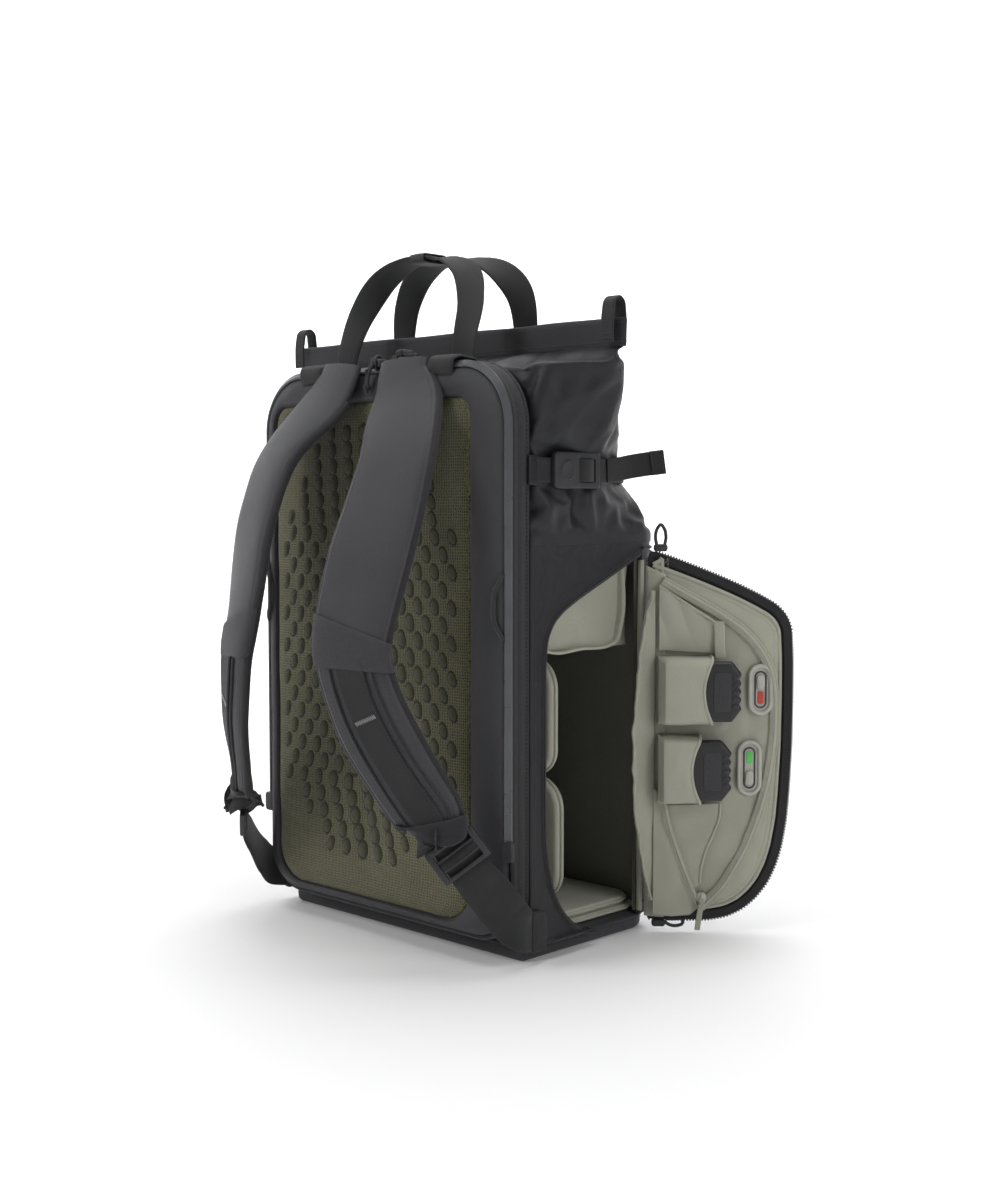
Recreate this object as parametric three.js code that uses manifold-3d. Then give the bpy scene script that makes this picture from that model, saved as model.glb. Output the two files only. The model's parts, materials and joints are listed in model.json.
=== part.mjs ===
// Roll-top carrying backpack for a drone kit, in millimetres, +Z up, standing on its base.
// +X is the side with the access door, -Y is the harness face, the origin is the base centre.
import * as THREE from 'three';
import * as BufferGeometryUtils from 'three/addons/utils/BufferGeometryUtils.js';
import Module from 'manifold-3d';

const wasm = await Module();
wasm.setup();

// Driving dimensions
const WIDTH = 310;              // across the back panel
const HARNESS_Y = -100;         // outer face of the back panel
const SEAM_Y = -76;             // where the gusset band meets the side walls
const FRONT_Y = 95;             // outer face of the front wall
const FRONT_RADIUS = 28;        // rounded upright corners of the front wall
const PANEL_TOP = 490;          // top edge of the back panel
const PANEL_BOTTOM = 20;        // bottom edge of the back panel
const PANEL_TOP_RADIUS = 52;
const PANEL_BOTTOM_RADIUS = 40;
const GUSSET = 3.5;             // thickness of the gusset band, seen from behind
const PANEL_THICK = 18;         // padded back panel
const WALL = 5;                 // padded side and front walls
const BASE_TOP = 16;            // top face of the base pad
const WALL_TOP = 345;           // where the padded walls meet the nylon collar
const RIM_Z = 523;              // roll-top rim
const RIM_HALF = 206;           // half length of the flat rim
const RIM_Y = -17;              // the flat rim's middle plane
const GAP = 0.4;                // clearance between touching pieces
const HINGE_X = 157.5;          // side door's hinge line
const HINGE_Y = 66;
const DOOR_OPEN = 134.1;        // degrees that the door stands open
const DOOR_WIDTH = 128;
const DOOR_BOTTOM = 12;
const WEBBING = 38;             // width of the lower strap webbing
const HANDLE_WEBBING = 25;
const HALF = WIDTH / 2;
const LARGE = 8;                // segments of a large rounded corner

// Materials
const finish = (color, roughness, metalness = 0) =>
  new THREE.MeshStandardMaterial({ color, roughness, metalness });
const SHELL = finish(0x2e2e31, 0.75);
const NYLON = finish(0x1d1d20, 0.55);
const STRAP = finish(0x3a3a3e, 0.7);
const MESH = finish(0x55533a, 0.9);
const WEB = finish(0x1a1a1c, 0.8);
const LINING = finish(0xa6aa96, 0.9);
const COATED = finish(0x6d6f72, 0.35);
const PLASTIC = finish(0x1b1b1d, 0.5);
const STATUS = finish(0xb4b3a8, 0.5);

// ---- shape helpers ----

const vec = (x, y, z) => new THREE.Vector3(x, y, z);

function pointsOnly(geometry) {
  const bare = geometry.clone();
  bare.deleteAttribute('normal');
  bare.deleteAttribute('uv');
  return BufferGeometryUtils.mergeVertices(bare, 1e-4);
}

function flipped(geometry) {
  const index = geometry.index.array;
  for (let i = 0; i < index.length; i += 3) {
    const first = index[i];
    index[i] = index[i + 1];
    index[i + 1] = first;
  }
  return geometry;
}

function signedVolume(geometry) {
  const index = geometry.index.array;
  const at = geometry.attributes.position;
  const corner = [vec(0, 0, 0), vec(0, 0, 0), vec(0, 0, 0)];
  let sum = 0;
  for (let i = 0; i < index.length; i += 3) {
    corner.forEach((p, k) => p.fromBufferAttribute(at, index[i + k]));
    sum += corner[0].dot(corner[1].clone().cross(corner[2]));
  }
  return sum;
}

function outward(geometry) {
  return signedVolume(geometry) < 0 ? flipped(geometry) : geometry;
}

function mirrored(geometry) {
  const other = pointsOnly(geometry);
  other.scale(-1, 1, 1);
  return outward(other);
}

function block(x, y, z) {
  const box = new THREE.BoxGeometry(x[1] - x[0], y[1] - y[0], z[1] - z[0]);
  box.translate((x[0] + x[1]) / 2, (y[0] + y[1]) / 2, (z[0] + z[1]) / 2);
  return pointsOnly(box);
}

// Small corners are drawn with few segments, large ones with more
function extruded(shape, depth, curveSegments = 3) {
  return new THREE.ExtrudeGeometry(shape, { depth, bevelEnabled: false, curveSegments });
}

// Outline drawn in X and Z, between two Y planes
function uprightPlate(shape, y, curveSegments) {
  const plate = extruded(shape, y[1] - y[0], curveSegments);
  plate.rotateX(Math.PI / 2);
  plate.translate(0, y[1], 0);
  return pointsOnly(plate);
}

// Outline drawn in Y and Z, between two X planes
function sidePlate(shape, x) {
  const plate = extruded(shape, x[1] - x[0]);
  plate.applyMatrix4(new THREE.Matrix4().makeBasis(vec(0, 1, 0), vec(0, 0, 1), vec(1, 0, 0)));
  plate.translate(x[0], 0, 0);
  return pointsOnly(plate);
}

// Outline drawn in X and Y, between two Z planes
function levelPlate(shape, z, curveSegments) {
  const plate = extruded(shape, z[1] - z[0], curveSegments);
  plate.translate(0, 0, z[0]);
  return pointsOnly(plate);
}

// Rectangle with its own radius at each corner: lower right, upper right, upper left, lower left
function roundedRect(x, y, radii) {
  const [lowRight, highRight, highLeft, lowLeft] = radii;
  const shape = new THREE.Shape();
  shape.moveTo(x[0] + lowLeft, y[0]);
  shape.lineTo(x[1] - lowRight, y[0]);
  shape.absarc(x[1] - lowRight, y[0] + lowRight, lowRight, -Math.PI / 2, 0);
  shape.lineTo(x[1], y[1] - highRight);
  shape.absarc(x[1] - highRight, y[1] - highRight, highRight, 0, Math.PI / 2);
  shape.lineTo(x[0] + highLeft, y[1]);
  shape.absarc(x[0] + highLeft, y[1] - highLeft, highLeft, Math.PI / 2, Math.PI);
  shape.lineTo(x[0], y[0] + lowLeft);
  shape.absarc(x[0] + lowLeft, y[0] + lowLeft, lowLeft, Math.PI, 1.5 * Math.PI);
  return shape;
}

const outline = (points) => new THREE.Shape(points.map(([a, b]) => new THREE.Vector2(a, b)));

// Moves each side of a counter-clockwise polygon inwards by its own distance
function inset(points, distanceOf) {
  const count = points.length;
  const sides = points.map((from, i) => {
    const to = points[(i + 1) % count];
    const along = new THREE.Vector2(to[0] - from[0], to[1] - from[1]).normalize();
    const d = distanceOf(i);
    return { p: new THREE.Vector2(from[0] - along.y * d, from[1] + along.x * d), along };
  });
  return sides.map((side, i) => {
    const before = sides[(i + count - 1) % count];
    const cross = before.along.cross(side.along);
    const gap = side.p.clone().sub(before.p);
    const reach = gap.cross(side.along) / cross;
    return [before.p.x + before.along.x * reach, before.p.y + before.along.y * reach];
  });
}

// Closed solid through rings of equal point count, with flat ends
function loft(rings) {
  const count = rings[0].length;
  const positions = rings.flat().flatMap((p) => [p.x, p.y, p.z]);
  const index = [];
  for (let r = 0; r + 1 < rings.length; r += 1) {
    for (let i = 0; i < count; i += 1) {
      const a = r * count + i;
      const b = r * count + (i + 1) % count;
      index.push(a, b, b + count, a, b + count, a + count);
    }
  }
  const last = (rings.length - 1) * count;
  for (let i = 1; i + 1 < count; i += 1) {
    index.push(0, i + 1, i, last, last + i, last + i + 1);
  }
  return indexed(positions, index);
}

// Open-ended wall between outer and inner rings
function loftedWall(outer, inner) {
  const count = outer[0].length;
  const rows = [...outer, ...inner.slice().reverse()];
  const positions = rows.flat().flatMap((p) => [p.x, p.y, p.z]);
  const index = [];
  rows.forEach((row, r) => {
    const next = (r + 1) % rows.length;
    for (let i = 0; i < count; i += 1) {
      const j = (i + 1) % count;
      index.push(r * count + i, r * count + j, next * count + j);
      index.push(r * count + i, next * count + j, next * count + i);
    }
  });
  return indexed(positions, index);
}

function indexed(positions, index) {
  const geometry = new THREE.BufferGeometry();
  geometry.setAttribute('position', new THREE.Float32BufferAttribute(positions, 3));
  geometry.setIndex(index);
  return outward(geometry);
}

// Flat strap with chamfered edges through stations of place, across direction and width
function ribbon(stations, thickness, steps) {
  const curve = new THREE.CatmullRomCurve3(stations.map((s) => vec(...s.at)));
  const chamfer = thickness * 0.3;
  const half = thickness / 2;
  const rings = [];
  for (let i = 0; i <= steps; i += 1) {
    const place = (i / steps) * (stations.length - 1);
    const k = Math.min(Math.floor(place), stations.length - 2);
    const centre = curve.getPoint(i / steps);
    const along = curve.getTangent(i / steps);
    const across = vec(...stations[k].across).lerp(vec(...stations[k + 1].across), place - k);
    across.addScaledVector(along, -across.dot(along)).normalize();
    const normal = along.clone().cross(across);
    const reach = THREE.MathUtils.lerp(stations[k].width, stations[k + 1].width, place - k) / 2;
    const section = [
      [reach, half - chamfer], [reach - chamfer, half], [chamfer - reach, half],
      [-reach, half - chamfer], [-reach, chamfer - half], [chamfer - reach, -half],
      [reach - chamfer, -half], [reach, chamfer - half],
    ];
    rings.push(section.map(([a, b]) =>
      centre.clone().addScaledVector(across, a).addScaledVector(normal, b)));
  }
  return loft(rings);
}

// Round cord of eight sides along a smooth curve
function roundCord(places, diameter, steps) {
  const section = new THREE.Shape();
  section.absarc(0, 0, diameter / 2, 0, 2 * Math.PI);
  const path = new THREE.CatmullRomCurve3(places.map((p) => vec(...p)));
  const cord = new THREE.ExtrudeGeometry(section, { extrudePath: path, steps, curveSegments: 8 });
  return outward(pointsOnly(cord));
}

function toSolid(geometry) {
  const bare = pointsOnly(geometry);
  const mesh = new wasm.Mesh({
    numProp: 3,
    vertProperties: new Float32Array(bare.attributes.position.array),
    triVerts: new Uint32Array(bare.index.array),
  });
  mesh.merge();
  return new wasm.Manifold(mesh);
}

function cutFrom(geometry, cutters) {
  let solid = toSolid(geometry);
  cutters.forEach((cutter) => {
    solid = solid.subtract(toSolid(cutter));
  });
  const result = solid.getMesh();
  return indexed(Array.from(result.vertProperties), Array.from(result.triVerts));
}

function add(parent, name, geometry, material) {
  const mesh = new THREE.Mesh(geometry, material);
  mesh.name = name;
  parent.add(mesh);
}

// ---- shell of the bag ----

function addBase(bag) {
  const inner = HALF - 16;
  const shape = roundedRect([-inner, inner], [SEAM_Y + GAP, FRONT_Y - 2],
    [8, FRONT_RADIUS, FRONT_RADIUS, 8]);
  add(bag, 'base_panel', levelPlate(shape, [0, BASE_TOP], LARGE), SHELL);
}

function addFrontPanel(bag) {
  const arm = FRONT_Y - FRONT_RADIUS;
  const ring = new THREE.Shape();
  const corner = HALF - FRONT_RADIUS;
  ring.moveTo(HALF, arm);
  ring.absarc(corner, arm, FRONT_RADIUS, 0, Math.PI / 2);
  ring.absarc(-corner, arm, FRONT_RADIUS, Math.PI / 2, Math.PI);
  ring.lineTo(-HALF + WALL, arm);
  ring.absarc(-corner, arm, FRONT_RADIUS - WALL, Math.PI, Math.PI / 2, true);
  ring.absarc(corner, arm, FRONT_RADIUS - WALL, Math.PI / 2, 0, true);
  add(bag, 'front_panel', levelPlate(ring, [BASE_TOP + GAP, WALL_TOP - GAP], LARGE), SHELL);
}

// The door's edge in its own plane: distance from the hinge, and height
function doorEdge() {
  const topCorner = 14;
  const points = [[4, DOOR_BOTTOM], [58, DOOR_BOTTOM], [88, 22], [108, 44], [120, 76]];
  points.push([DOOR_WIDTH - 2, 125], [DOOR_WIDTH, 204], [DOOR_WIDTH - 1, 270]);
  points.push([DOOR_WIDTH - topCorner, 286], [85, 302], [50, 317], [4, 334]);
  return points;
}

// Moves the door's edge in by a distance, but not along its hinge side
function doorInset(distance, hingeSide = 0) {
  const edge = doorEdge();
  return inset(edge, (side) => (side === edge.length - 1 ? hingeSide : distance));
}

function addSidePanels(bag) {
  const z = [BASE_TOP + GAP, WALL_TOP - GAP];
  const y = [SEAM_Y + GAP, FRONT_Y - FRONT_RADIUS - GAP];
  const left = block([-HALF, -HALF + WALL], y, z);
  add(bag, 'left_side_panel', left, SHELL);
  const right = block([HALF - WALL, HALF], y, z);
  const opening = doorInset(8, -20).map(([u, height]) => [HINGE_Y - u, height]);
  const across = [HALF - 2 * WALL, HALF + WALL];
  const cutter = sidePlate(outline(opening.reverse()), across);
  const sill = block(across, [HINGE_Y - DOOR_WIDTH + 8, HINGE_Y + 20], [0, 150]);
  add(bag, 'right_side_panel', cutFrom(right, [cutter, sill]), SHELL);
}

// Height, rear corner, side ridge, front corner and front face of the collar
const COLLAR = [
  { z: WALL_TOP, rear: [154, SEAM_Y + GAP], ridge: [154.5, 30], front: [128, 93] },
  { z: 368, rear: [153, SEAM_Y + GAP], ridge: [155, 20], front: [126, 78] },
  { z: 390, rear: [152, SEAM_Y + GAP], ridge: [154, 8], front: [124, 60] },
  { z: 414, rear: [152, SEAM_Y + GAP], ridge: [154, 6], front: [124, 56] },
  { z: 432, rear: [151, SEAM_Y + GAP], ridge: [171, 0], front: [126, 42] },
  { z: 465, rear: [150, SEAM_Y + GAP], ridge: [186, -8], front: [130, 20] },
  { z: 488, rear: [148, SEAM_Y + GAP], ridge: [194, -13], front: [138, 2] },
  { z: 500, rear: [152, RIM_Y - 5], ridge: [RIM_HALF - 2, RIM_Y], front: [150, RIM_Y + 5] },
  { z: RIM_Z, rear: [152, RIM_Y - 5], ridge: [RIM_HALF - 2, RIM_Y], front: [150, RIM_Y + 5] },
];

// One level outline of the collar, counter-clockwise
function collarOutline({ rear, ridge, front }) {
  const blunt = 3.5;
  const round = Math.min(8, (front[1] - rear[1]) / 10);
  const right = [
    [rear[0] - 8, rear[1]], [rear[0], rear[1] + round],
    [(rear[0] + ridge[0]) / 2, rear[1] * 0.4 + (ridge[1] - blunt) * 0.6 - 0.5],
    [ridge[0], ridge[1] - blunt], [ridge[0], ridge[1] + blunt],
    [(front[0] + ridge[0]) / 2 + 3, front[1] * 0.6 + (ridge[1] + blunt) * 0.4 + 0.5],
    front,
  ];
  const left = right.map(([x, y]) => [-x, y]).reverse();
  return [...right, ...left];
}

const atHeight = (points, z) => points.map(([x, y]) => vec(x, y, z));

function addCollar(bag) {
  const skin = 2;
  const outer = COLLAR.map((row) => atHeight(collarOutline(row), row.z));
  const inner = COLLAR.map((row) => atHeight(inset(collarOutline(row), () => skin), row.z));
  const rearMouth = block([-144, 144], [SEAM_Y - 10, SEAM_Y + 9], [WALL_TOP - 5, PANEL_TOP - 10]);
  add(bag, 'rolltop_collar', cutFrom(loftedWall(outer, inner), [rearMouth]), NYLON);
  const rim = collarOutline(COLLAR[COLLAR.length - 1]);
  const around = (distance) => [RIM_Z - 22, RIM_Z - 1].map((z) =>
    atHeight(inset(rim, () => -distance), z));
  add(bag, 'rim_band', loftedWall(around(2.6), around(GAP)), NYLON);
}

// Webbing loop that stands on each end of the rim
function addEndTabs(bag) {
  const thick = 2;
  const rearY = RIM_Y - 5 - 2.6 - 0.6;
  const across = [1, 0, 0];
  const loop = [[rearY - 1, 506], [rearY - 1, 528], [rearY + 3, 539], [rearY + 9, 539]];
  loop.push([rearY + 13, 530], [rearY + 13, 525]);
  const stations = loop.map(([y, z]) => ({ at: [194, y, z], across, width: 14 }));
  const right = ribbon(stations, thick, 20);
  add(bag, 'end_tab_right', right, WEB);
  add(bag, 'end_tab_left', mirrored(right), WEB);
}

function addGusset(bag) {
  const frame = (grow) => roundedRect(
    [-HALF + grow, HALF - grow], [PANEL_BOTTOM - 2 + grow, PANEL_TOP - grow],
    [PANEL_BOTTOM_RADIUS, PANEL_TOP_RADIUS, PANEL_TOP_RADIUS, PANEL_BOTTOM_RADIUS]
      .map((r) => r - grow));
  const band = frame(0);
  band.holes.push(frame(GUSSET));
  add(bag, 'gusset_band', uprightPlate(band, [HARNESS_Y + 4, SEAM_Y - GAP], LARGE), STRAP);
  const zipEnd = 100;
  const tape = cutFrom(uprightPlate(band, [HARNESS_Y + 0.5, HARNESS_Y + 4 - GAP], LARGE),
    [block([-2 * HALF, 2 * HALF], [2 * HARNESS_Y, 0], [0, zipEnd])]);
  add(bag, 'panel_zip', tape, COATED);
}

function addSideStraps(bag) {
  const z = 402;
  const across = [0, 0, 1];
  const width = 20;
  const route = [[157.6, -74], [158, -40], [158, 8], [154, 30], [143, 50], [131, 64]];
  const strap = ribbon(route.map(([x, y]) => ({ at: [x, y, z], across, width })), 1.6, 16);
  const free = [[160.4, 14], [163, 28], [172, 44], [184, 58]];
  const tail = ribbon(free.map(([x, y], i) => ({ at: [x, y, z + 2 * i], across, width })), 2, 10);
  const plate = roundedRect([-58, -3], [z - 15, z + 15], [5, 5, 5, 5]);
  plate.holes.push(roundedRect([-28, -21], [z - 11, z + 11], [1, 1, 1, 1]));
  plate.holes.push(roundedRect([-15, -9], [z - 11, z + 11], [1, 1, 1, 1]));
  const buckle = sidePlate(plate, [160.2, 165.2]);
  [['right', (g) => g], ['left', mirrored]].forEach(([side, turn]) => {
    add(bag, `side_strap_${side}`, turn(strap), WEB);
    add(bag, `side_strap_tail_${side}`, turn(tail), WEB);
    add(bag, `side_buckle_${side}`, turn(buckle), PLASTIC);
  });
}

// Both carrying handles: low feet, a bow of webbing between them, and the snap wrap
function addHandles(bag) {
  const bow = (places) => {
    const right = places.map(([x, y, z, tilt]) => ({
      at: [x, y, z], across: [Math.cos(tilt), Math.sin(tilt), 0], width: HANDLE_WEBBING,
    }));
    const top = places[places.length - 1];
    right.pop();
    const crown = { at: [0, top[1], top[2]], across: [0, 1, 0], width: HANDLE_WEBBING };
    const left = right.map(({ at, across, width }) =>
      ({ at: [-at[0], at[1], at[2]], across: [-across[0], across[1], 0], width })).reverse();
    return ribbon([...right, crown, ...left], 2.2, 36);
  };
  const rear = [[76, -72, 492, 0], [74, -66, 515, 0.2], [69, -56, 545, 0.5]];
  rear.push([52, -46, 570, 1], [30, -42, 583, 1.4], [0, -40, 587, 0]);
  const front = [[77, 2, 504, 0], [78, 2, 530, 0.2], [71, 0, 556, 0.5]];
  front.push([54, -4, 575, 1], [32, -7, 586, 1.4], [0, -9.5, 590, 0]);
  add(bag, 'handle_rear', bow(rear), WEB);
  add(bag, 'handle_front', bow(front), WEB);
  const wrap = roundedRect([-57, -24], [582, 596], [3, 3, 3, 3]);
  wrap.holes.push(roundedRect([-54.5, -26.5], [584.5, 592.5], [1, 1, 1, 1]));
  add(bag, 'handle_wrap', sidePlate(wrap, [-9, 9]), NYLON);
}

function addInterior(bag) {
  const inside = HALF - WALL - 2;
  const floorHalf = HALF - 16;
  const floor = roundedRect([-floorHalf, floorHalf], [SEAM_Y + 10, FRONT_Y - 8], [6, 22, 22, 6]);
  add(bag, 'floor_pad', levelPlate(floor, [BASE_TOP + GAP, BASE_TOP + 11]), LINING);
  const shelf = 252;
  const thick = 4;
  const side = inside - 2;
  const trough = outline([
    [-side, shelf], [side, shelf], [side, WALL_TOP - 6], [side - thick, WALL_TOP - 6],
    [side - thick, shelf + thick], [thick - side, shelf + thick],
    [thick - side, WALL_TOP - 6], [-side, WALL_TOP - 6],
  ]);
  add(bag, 'upper_bay_liner', uprightPlate(trough, [-60, 50]), LINING);
  const upper = roundedRect([-100, 112], [150, 246], [12, 12, 12, 12]);
  add(bag, 'divider_upper', uprightPlate(upper, [-34, -22]), LINING);
  const lower = roundedRect([-100, 112], [40, 140], [30, 30, 12, 12]);
  add(bag, 'divider_lower', uprightPlate(lower, [-14, -2]), LINING);
}

// ---- back panel with its harness ----

const MESH_FIELD = { x: [-139, 112], z: [30, 461] };

function addBackPanel(bag) {
  const edge = GUSSET + 0.6;
  const radii = [PANEL_BOTTOM_RADIUS, PANEL_TOP_RADIUS, PANEL_TOP_RADIUS, PANEL_BOTTOM_RADIUS];
  const board = uprightPlate(roundedRect([-HALF + edge, HALF - edge],
    [PANEL_BOTTOM - 2 + edge, PANEL_TOP - edge], radii.map((r) => r - edge)),
  [HARNESS_Y, HARNESS_Y + PANEL_THICK], LARGE);
  const field = (grow) => roundedRect(
    [MESH_FIELD.x[0] - grow, MESH_FIELD.x[1] + grow],
    [MESH_FIELD.z[0] - grow, MESH_FIELD.z[1] + grow], [34, 16, 16, 34]);
  const recess = uprightPlate(field(GAP), [HARNESS_Y - 10, HARNESS_Y + 6]);
  add(bag, 'back_panel', cutFrom(board, [recess]), SHELL);
  add(bag, 'mesh_pad', uprightPlate(field(0), [HARNESS_Y, HARNESS_Y + 6 - GAP]), MESH);
  const sleeveY = HARNESS_Y + PANEL_THICK;
  const sleeve = roundedRect([-122, 122], [64, 425], [14, 14, 14, 14]);
  add(bag, 'laptop_sleeve', uprightPlate(sleeve, [sleeveY + GAP, sleeveY + 14]), LINING);
}

function addPanelTrim(bag) {
  const face = HARNESS_Y;
  const loop = [[148, 318], [143.5, 306], [142.5, 293], [143.5, 280], [148, 268]];
  const stations = loop.map(([x, z]) => ({ at: [x, face - 3, z], across: [0, 1, 0], width: 5 }));
  const right = ribbon(stations, 2.4, 12);
  add(bag, 'finger_loop_right', right, WEB);
  add(bag, 'finger_loop_left', mirrored(right), WEB);
  const top = PANEL_TOP;
  const wrap = (x) => {
    const path = [[face - 1.4, top - 9], [face - 1.4, top - 2], [face + 1, top + 1.6]];
    path.push([face + 10, top + 1.6], [SEAM_Y - 1, top + 1.6]);
    const middle = (x[0] + x[1]) / 2;
    return ribbon(path.map(([y, z]) =>
      ({ at: [middle, y, z], across: [1, 0, 0], width: x[1] - x[0] })), 1.6, 16);
  };
  add(bag, 'handle_band_left', wrap([-98, -70]), WEB);
  add(bag, 'handle_band_right', wrap([70, 98]), WEB);
}

// Middle line of a shoulder strap: place, turn of its face towards the side, and width
const STRAP_LINE = [
  [39, -107, 486, 0, 54], [41, -110, 475, 1, 56], [50, -119, 460, 3, 60],
  [65, -133, 440, 7, 64], [77, -150, 412, 12, 69], [80, -168, 367, 17, 72],
  [75, -182, 320, 20, 72], [72, -191, 280, 20, 68], [76, -195, 250, 22, 62],
  [86, -190, 214, 26, 58], [99, -180, 183, 30, 54], [114, -163, 146, 35, 48],
  [131, -147, 112, 38, 42],
];

const strapStation = ([x, y, z, turn, width]) => {
  const angle = THREE.MathUtils.degToRad(turn);
  return { at: [x, y, z], across: [Math.cos(angle), Math.sin(angle), 0], width };
};

function addShoulderStraps(bag) {
  const strap = ribbon(STRAP_LINE.map(strapStation), 11, 26);
  const bandLine = [[75, -199.6, 278, 20, 70], [76.4, -202, 265, 21, 70], [79, -203.6, 251, 22, 68]];
  const band = ribbon(bandLine.map(strapStation), 1.8, 4);
  const webLine = [[147, -135, 86, 40, WEBBING], [154, -122, 68, 52, WEBBING],
    [159, -105, 46, 72, WEBBING], [160, -88, 30, 88, WEBBING]];
  const webbing = ribbon(webLine.map(strapStation), 2.4, 12);
  [['right', (g) => g], ['left', mirrored]].forEach(([side, turn]) => {
    add(bag, `shoulder_strap_${side}`, turn(strap), STRAP);
    add(bag, `strap_band_${side}`, turn(band), WEB);
    add(bag, `lower_webbing_${side}`, turn(webbing), WEB);
    add(bag, `webbing_anchor_${side}`, turn(block([HALF + GAP, HALF + 2.4],
      [SEAM_Y + 1, SEAM_Y + 12], [14, 40])), WEB);
  });
}

// Ladder lock between the strap's end and the lower webbing
function addLadderLocks(bag) {
  const along = vec(16, 12, -26).normalize();
  const across = vec(Math.cos(0.68), Math.sin(0.68), 0);
  across.addScaledVector(along, -across.dot(along)).normalize();
  const half = { across: 22.5, along: 14 };
  const plate = roundedRect([-half.across, half.across], [-half.along, half.along], [4, 4, 4, 4]);
  [[-10, -5], [-2, 2], [5, 10]].forEach((slot) => {
    plate.holes.push(roundedRect([-17, 17], slot, [1, 1, 1, 1]));
  });
  const lock = levelPlate(plate, [-3, 3]);
  const turn = new THREE.Matrix4().makeBasis(across, along.clone().negate(),
    across.clone().cross(along.clone().negate()));
  lock.applyMatrix4(turn.setPosition(139, -141, 99));
  add(bag, 'ladder_lock_right', lock, PLASTIC);
  add(bag, 'ladder_lock_left', mirrored(lock), PLASTIC);
}

function addPanelZipSliders(bag) {
  const slider = (x) => block([x - 7, x + 7], [HARNESS_Y - 4, HARNESS_Y + 5],
    [PANEL_TOP + 0.6, PANEL_TOP + 6]);
  const front = HARNESS_Y - 6.5;
  const hanging = [[1, front, 494], [0, front - 1, 488], [-2, front - 2, 480], [-3, front - 2, 470]];
  const lying = [[30, front + 2, 498], [37, front + 1, 499], [45, front, 499], [54, front, 497]];
  add(bag, 'panel_zip_slider_left', slider(1), PLASTIC);
  add(bag, 'panel_zip_slider_right', slider(28), PLASTIC);
  add(bag, 'panel_zip_pull_left', roundCord(hanging, 3, 8), WEB);
  add(bag, 'panel_zip_pull_right', roundCord(lying, 3, 8), WEB);
}

// ---- side door: X runs from its hinge to its free edge, +Y is its outer face ----

const DOOR_SKIN = [0, 3];
const DOOR_LINING = [-6, -GAP];
const POCKET_FACE = DOOR_LINING[0] - GAP;

function addDoorShell(door) {
  const edge = doorEdge();
  const tape = outline([...edge, ...doorInset(7).reverse()]);
  add(door, 'door_zip', uprightPlate(tape, DOOR_SKIN), WEB);
  add(door, 'side_door', uprightPlate(outline(doorInset(7.4)), DOOR_SKIN), NYLON);
  add(door, 'door_lining', uprightPlate(outline(doorInset(10, 1.5)), DOOR_LINING), LINING);
}

// Slider with its looped pull; foot and loop are ranges along the door and in height
function zipPull(foot, loop) {
  const plate = (part) => uprightPlate(roundedRect(part[0], part[1], [1, 1, 1, 1]), [-0.5, 3.5]);
  const hole = block([loop[0][0] + 2.4, loop[0][1] - 2.4], [-5, 5],
    [loop[1][0] + 1.6, loop[1][1] - 1.6]);
  const joined = toSolid(plate(foot)).add(toSolid(plate(loop))).getMesh();
  const whole = indexed(Array.from(joined.vertProperties), Array.from(joined.triVerts));
  return cutFrom(whole, [hole]);
}

function addDoorZipSliders(door) {
  const upper = zipPull([[8, 20], [333.5, 340]], [[10, 19], [339, 357]]);
  add(door, 'door_zip_slider_upper', upper, PLASTIC);
  const lower = zipPull([[8, 20], [5, DOOR_BOTTOM - 0.6]], [[19, 36], [4.5, 10.5]]);
  add(door, 'door_zip_slider_lower', lower, PLASTIC);
}

// A pouch that opens away from the hinge, the battery in it, and the status slider beside it
const POUCHES = [
  { level: 'upper', pouch: [14, 67], z: [186, 243], battery: 81, status: [90, 194, 235], knob: 221 },
  { level: 'lower', pouch: [14, 55], z: [118, 175], battery: 73, status: [81, 124, 169], knob: 138 },
];

function addBatteryPouches(door) {
  const depth = 24;
  const skin = 1.4;
  POUCHES.forEach(({ level, pouch, z, battery, status, knob }) => {
    const y = [POCKET_FACE - depth, POCKET_FACE];
    const hollow = block([pouch[0] + skin, pouch[1] + 5], [y[0] + skin, y[1] - 3.6],
      [z[0] + skin, z[1] - skin]);
    add(door, `battery_pouch_${level}`, cutFrom(block(pouch, y, z), [hollow]), LINING);
    const cell = roundedRect([pouch[0] + skin + 1, battery], [z[0] + 3, z[1] - 3], [9, 9, 3, 3]);
    add(door, `battery_${level}`, uprightPlate(cell, [y[0] + skin + 0.5, y[1] - 4.2]), PLASTIC);
    const [left, bottom, top] = status;
    const radius = 9;
    const frame = roundedRect([left, left + 20], [bottom, top], [radius, radius, radius, radius]);
    frame.holes.push(roundedRect([left + 6, left + 14], [bottom + 6, top - 6], [3, 3, 3, 3]));
    const face = [POCKET_FACE - 3, POCKET_FACE];
    add(door, `status_frame_${level}`, uprightPlate(frame, face), STATUS);
    const slider = roundedRect([left + 6.5, left + 13.5], [knob - 6, knob + 6], [2, 2, 2, 2]);
    add(door, `status_slider_${level}`, uprightPlate(slider, face), STATUS);
  });
}

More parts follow.
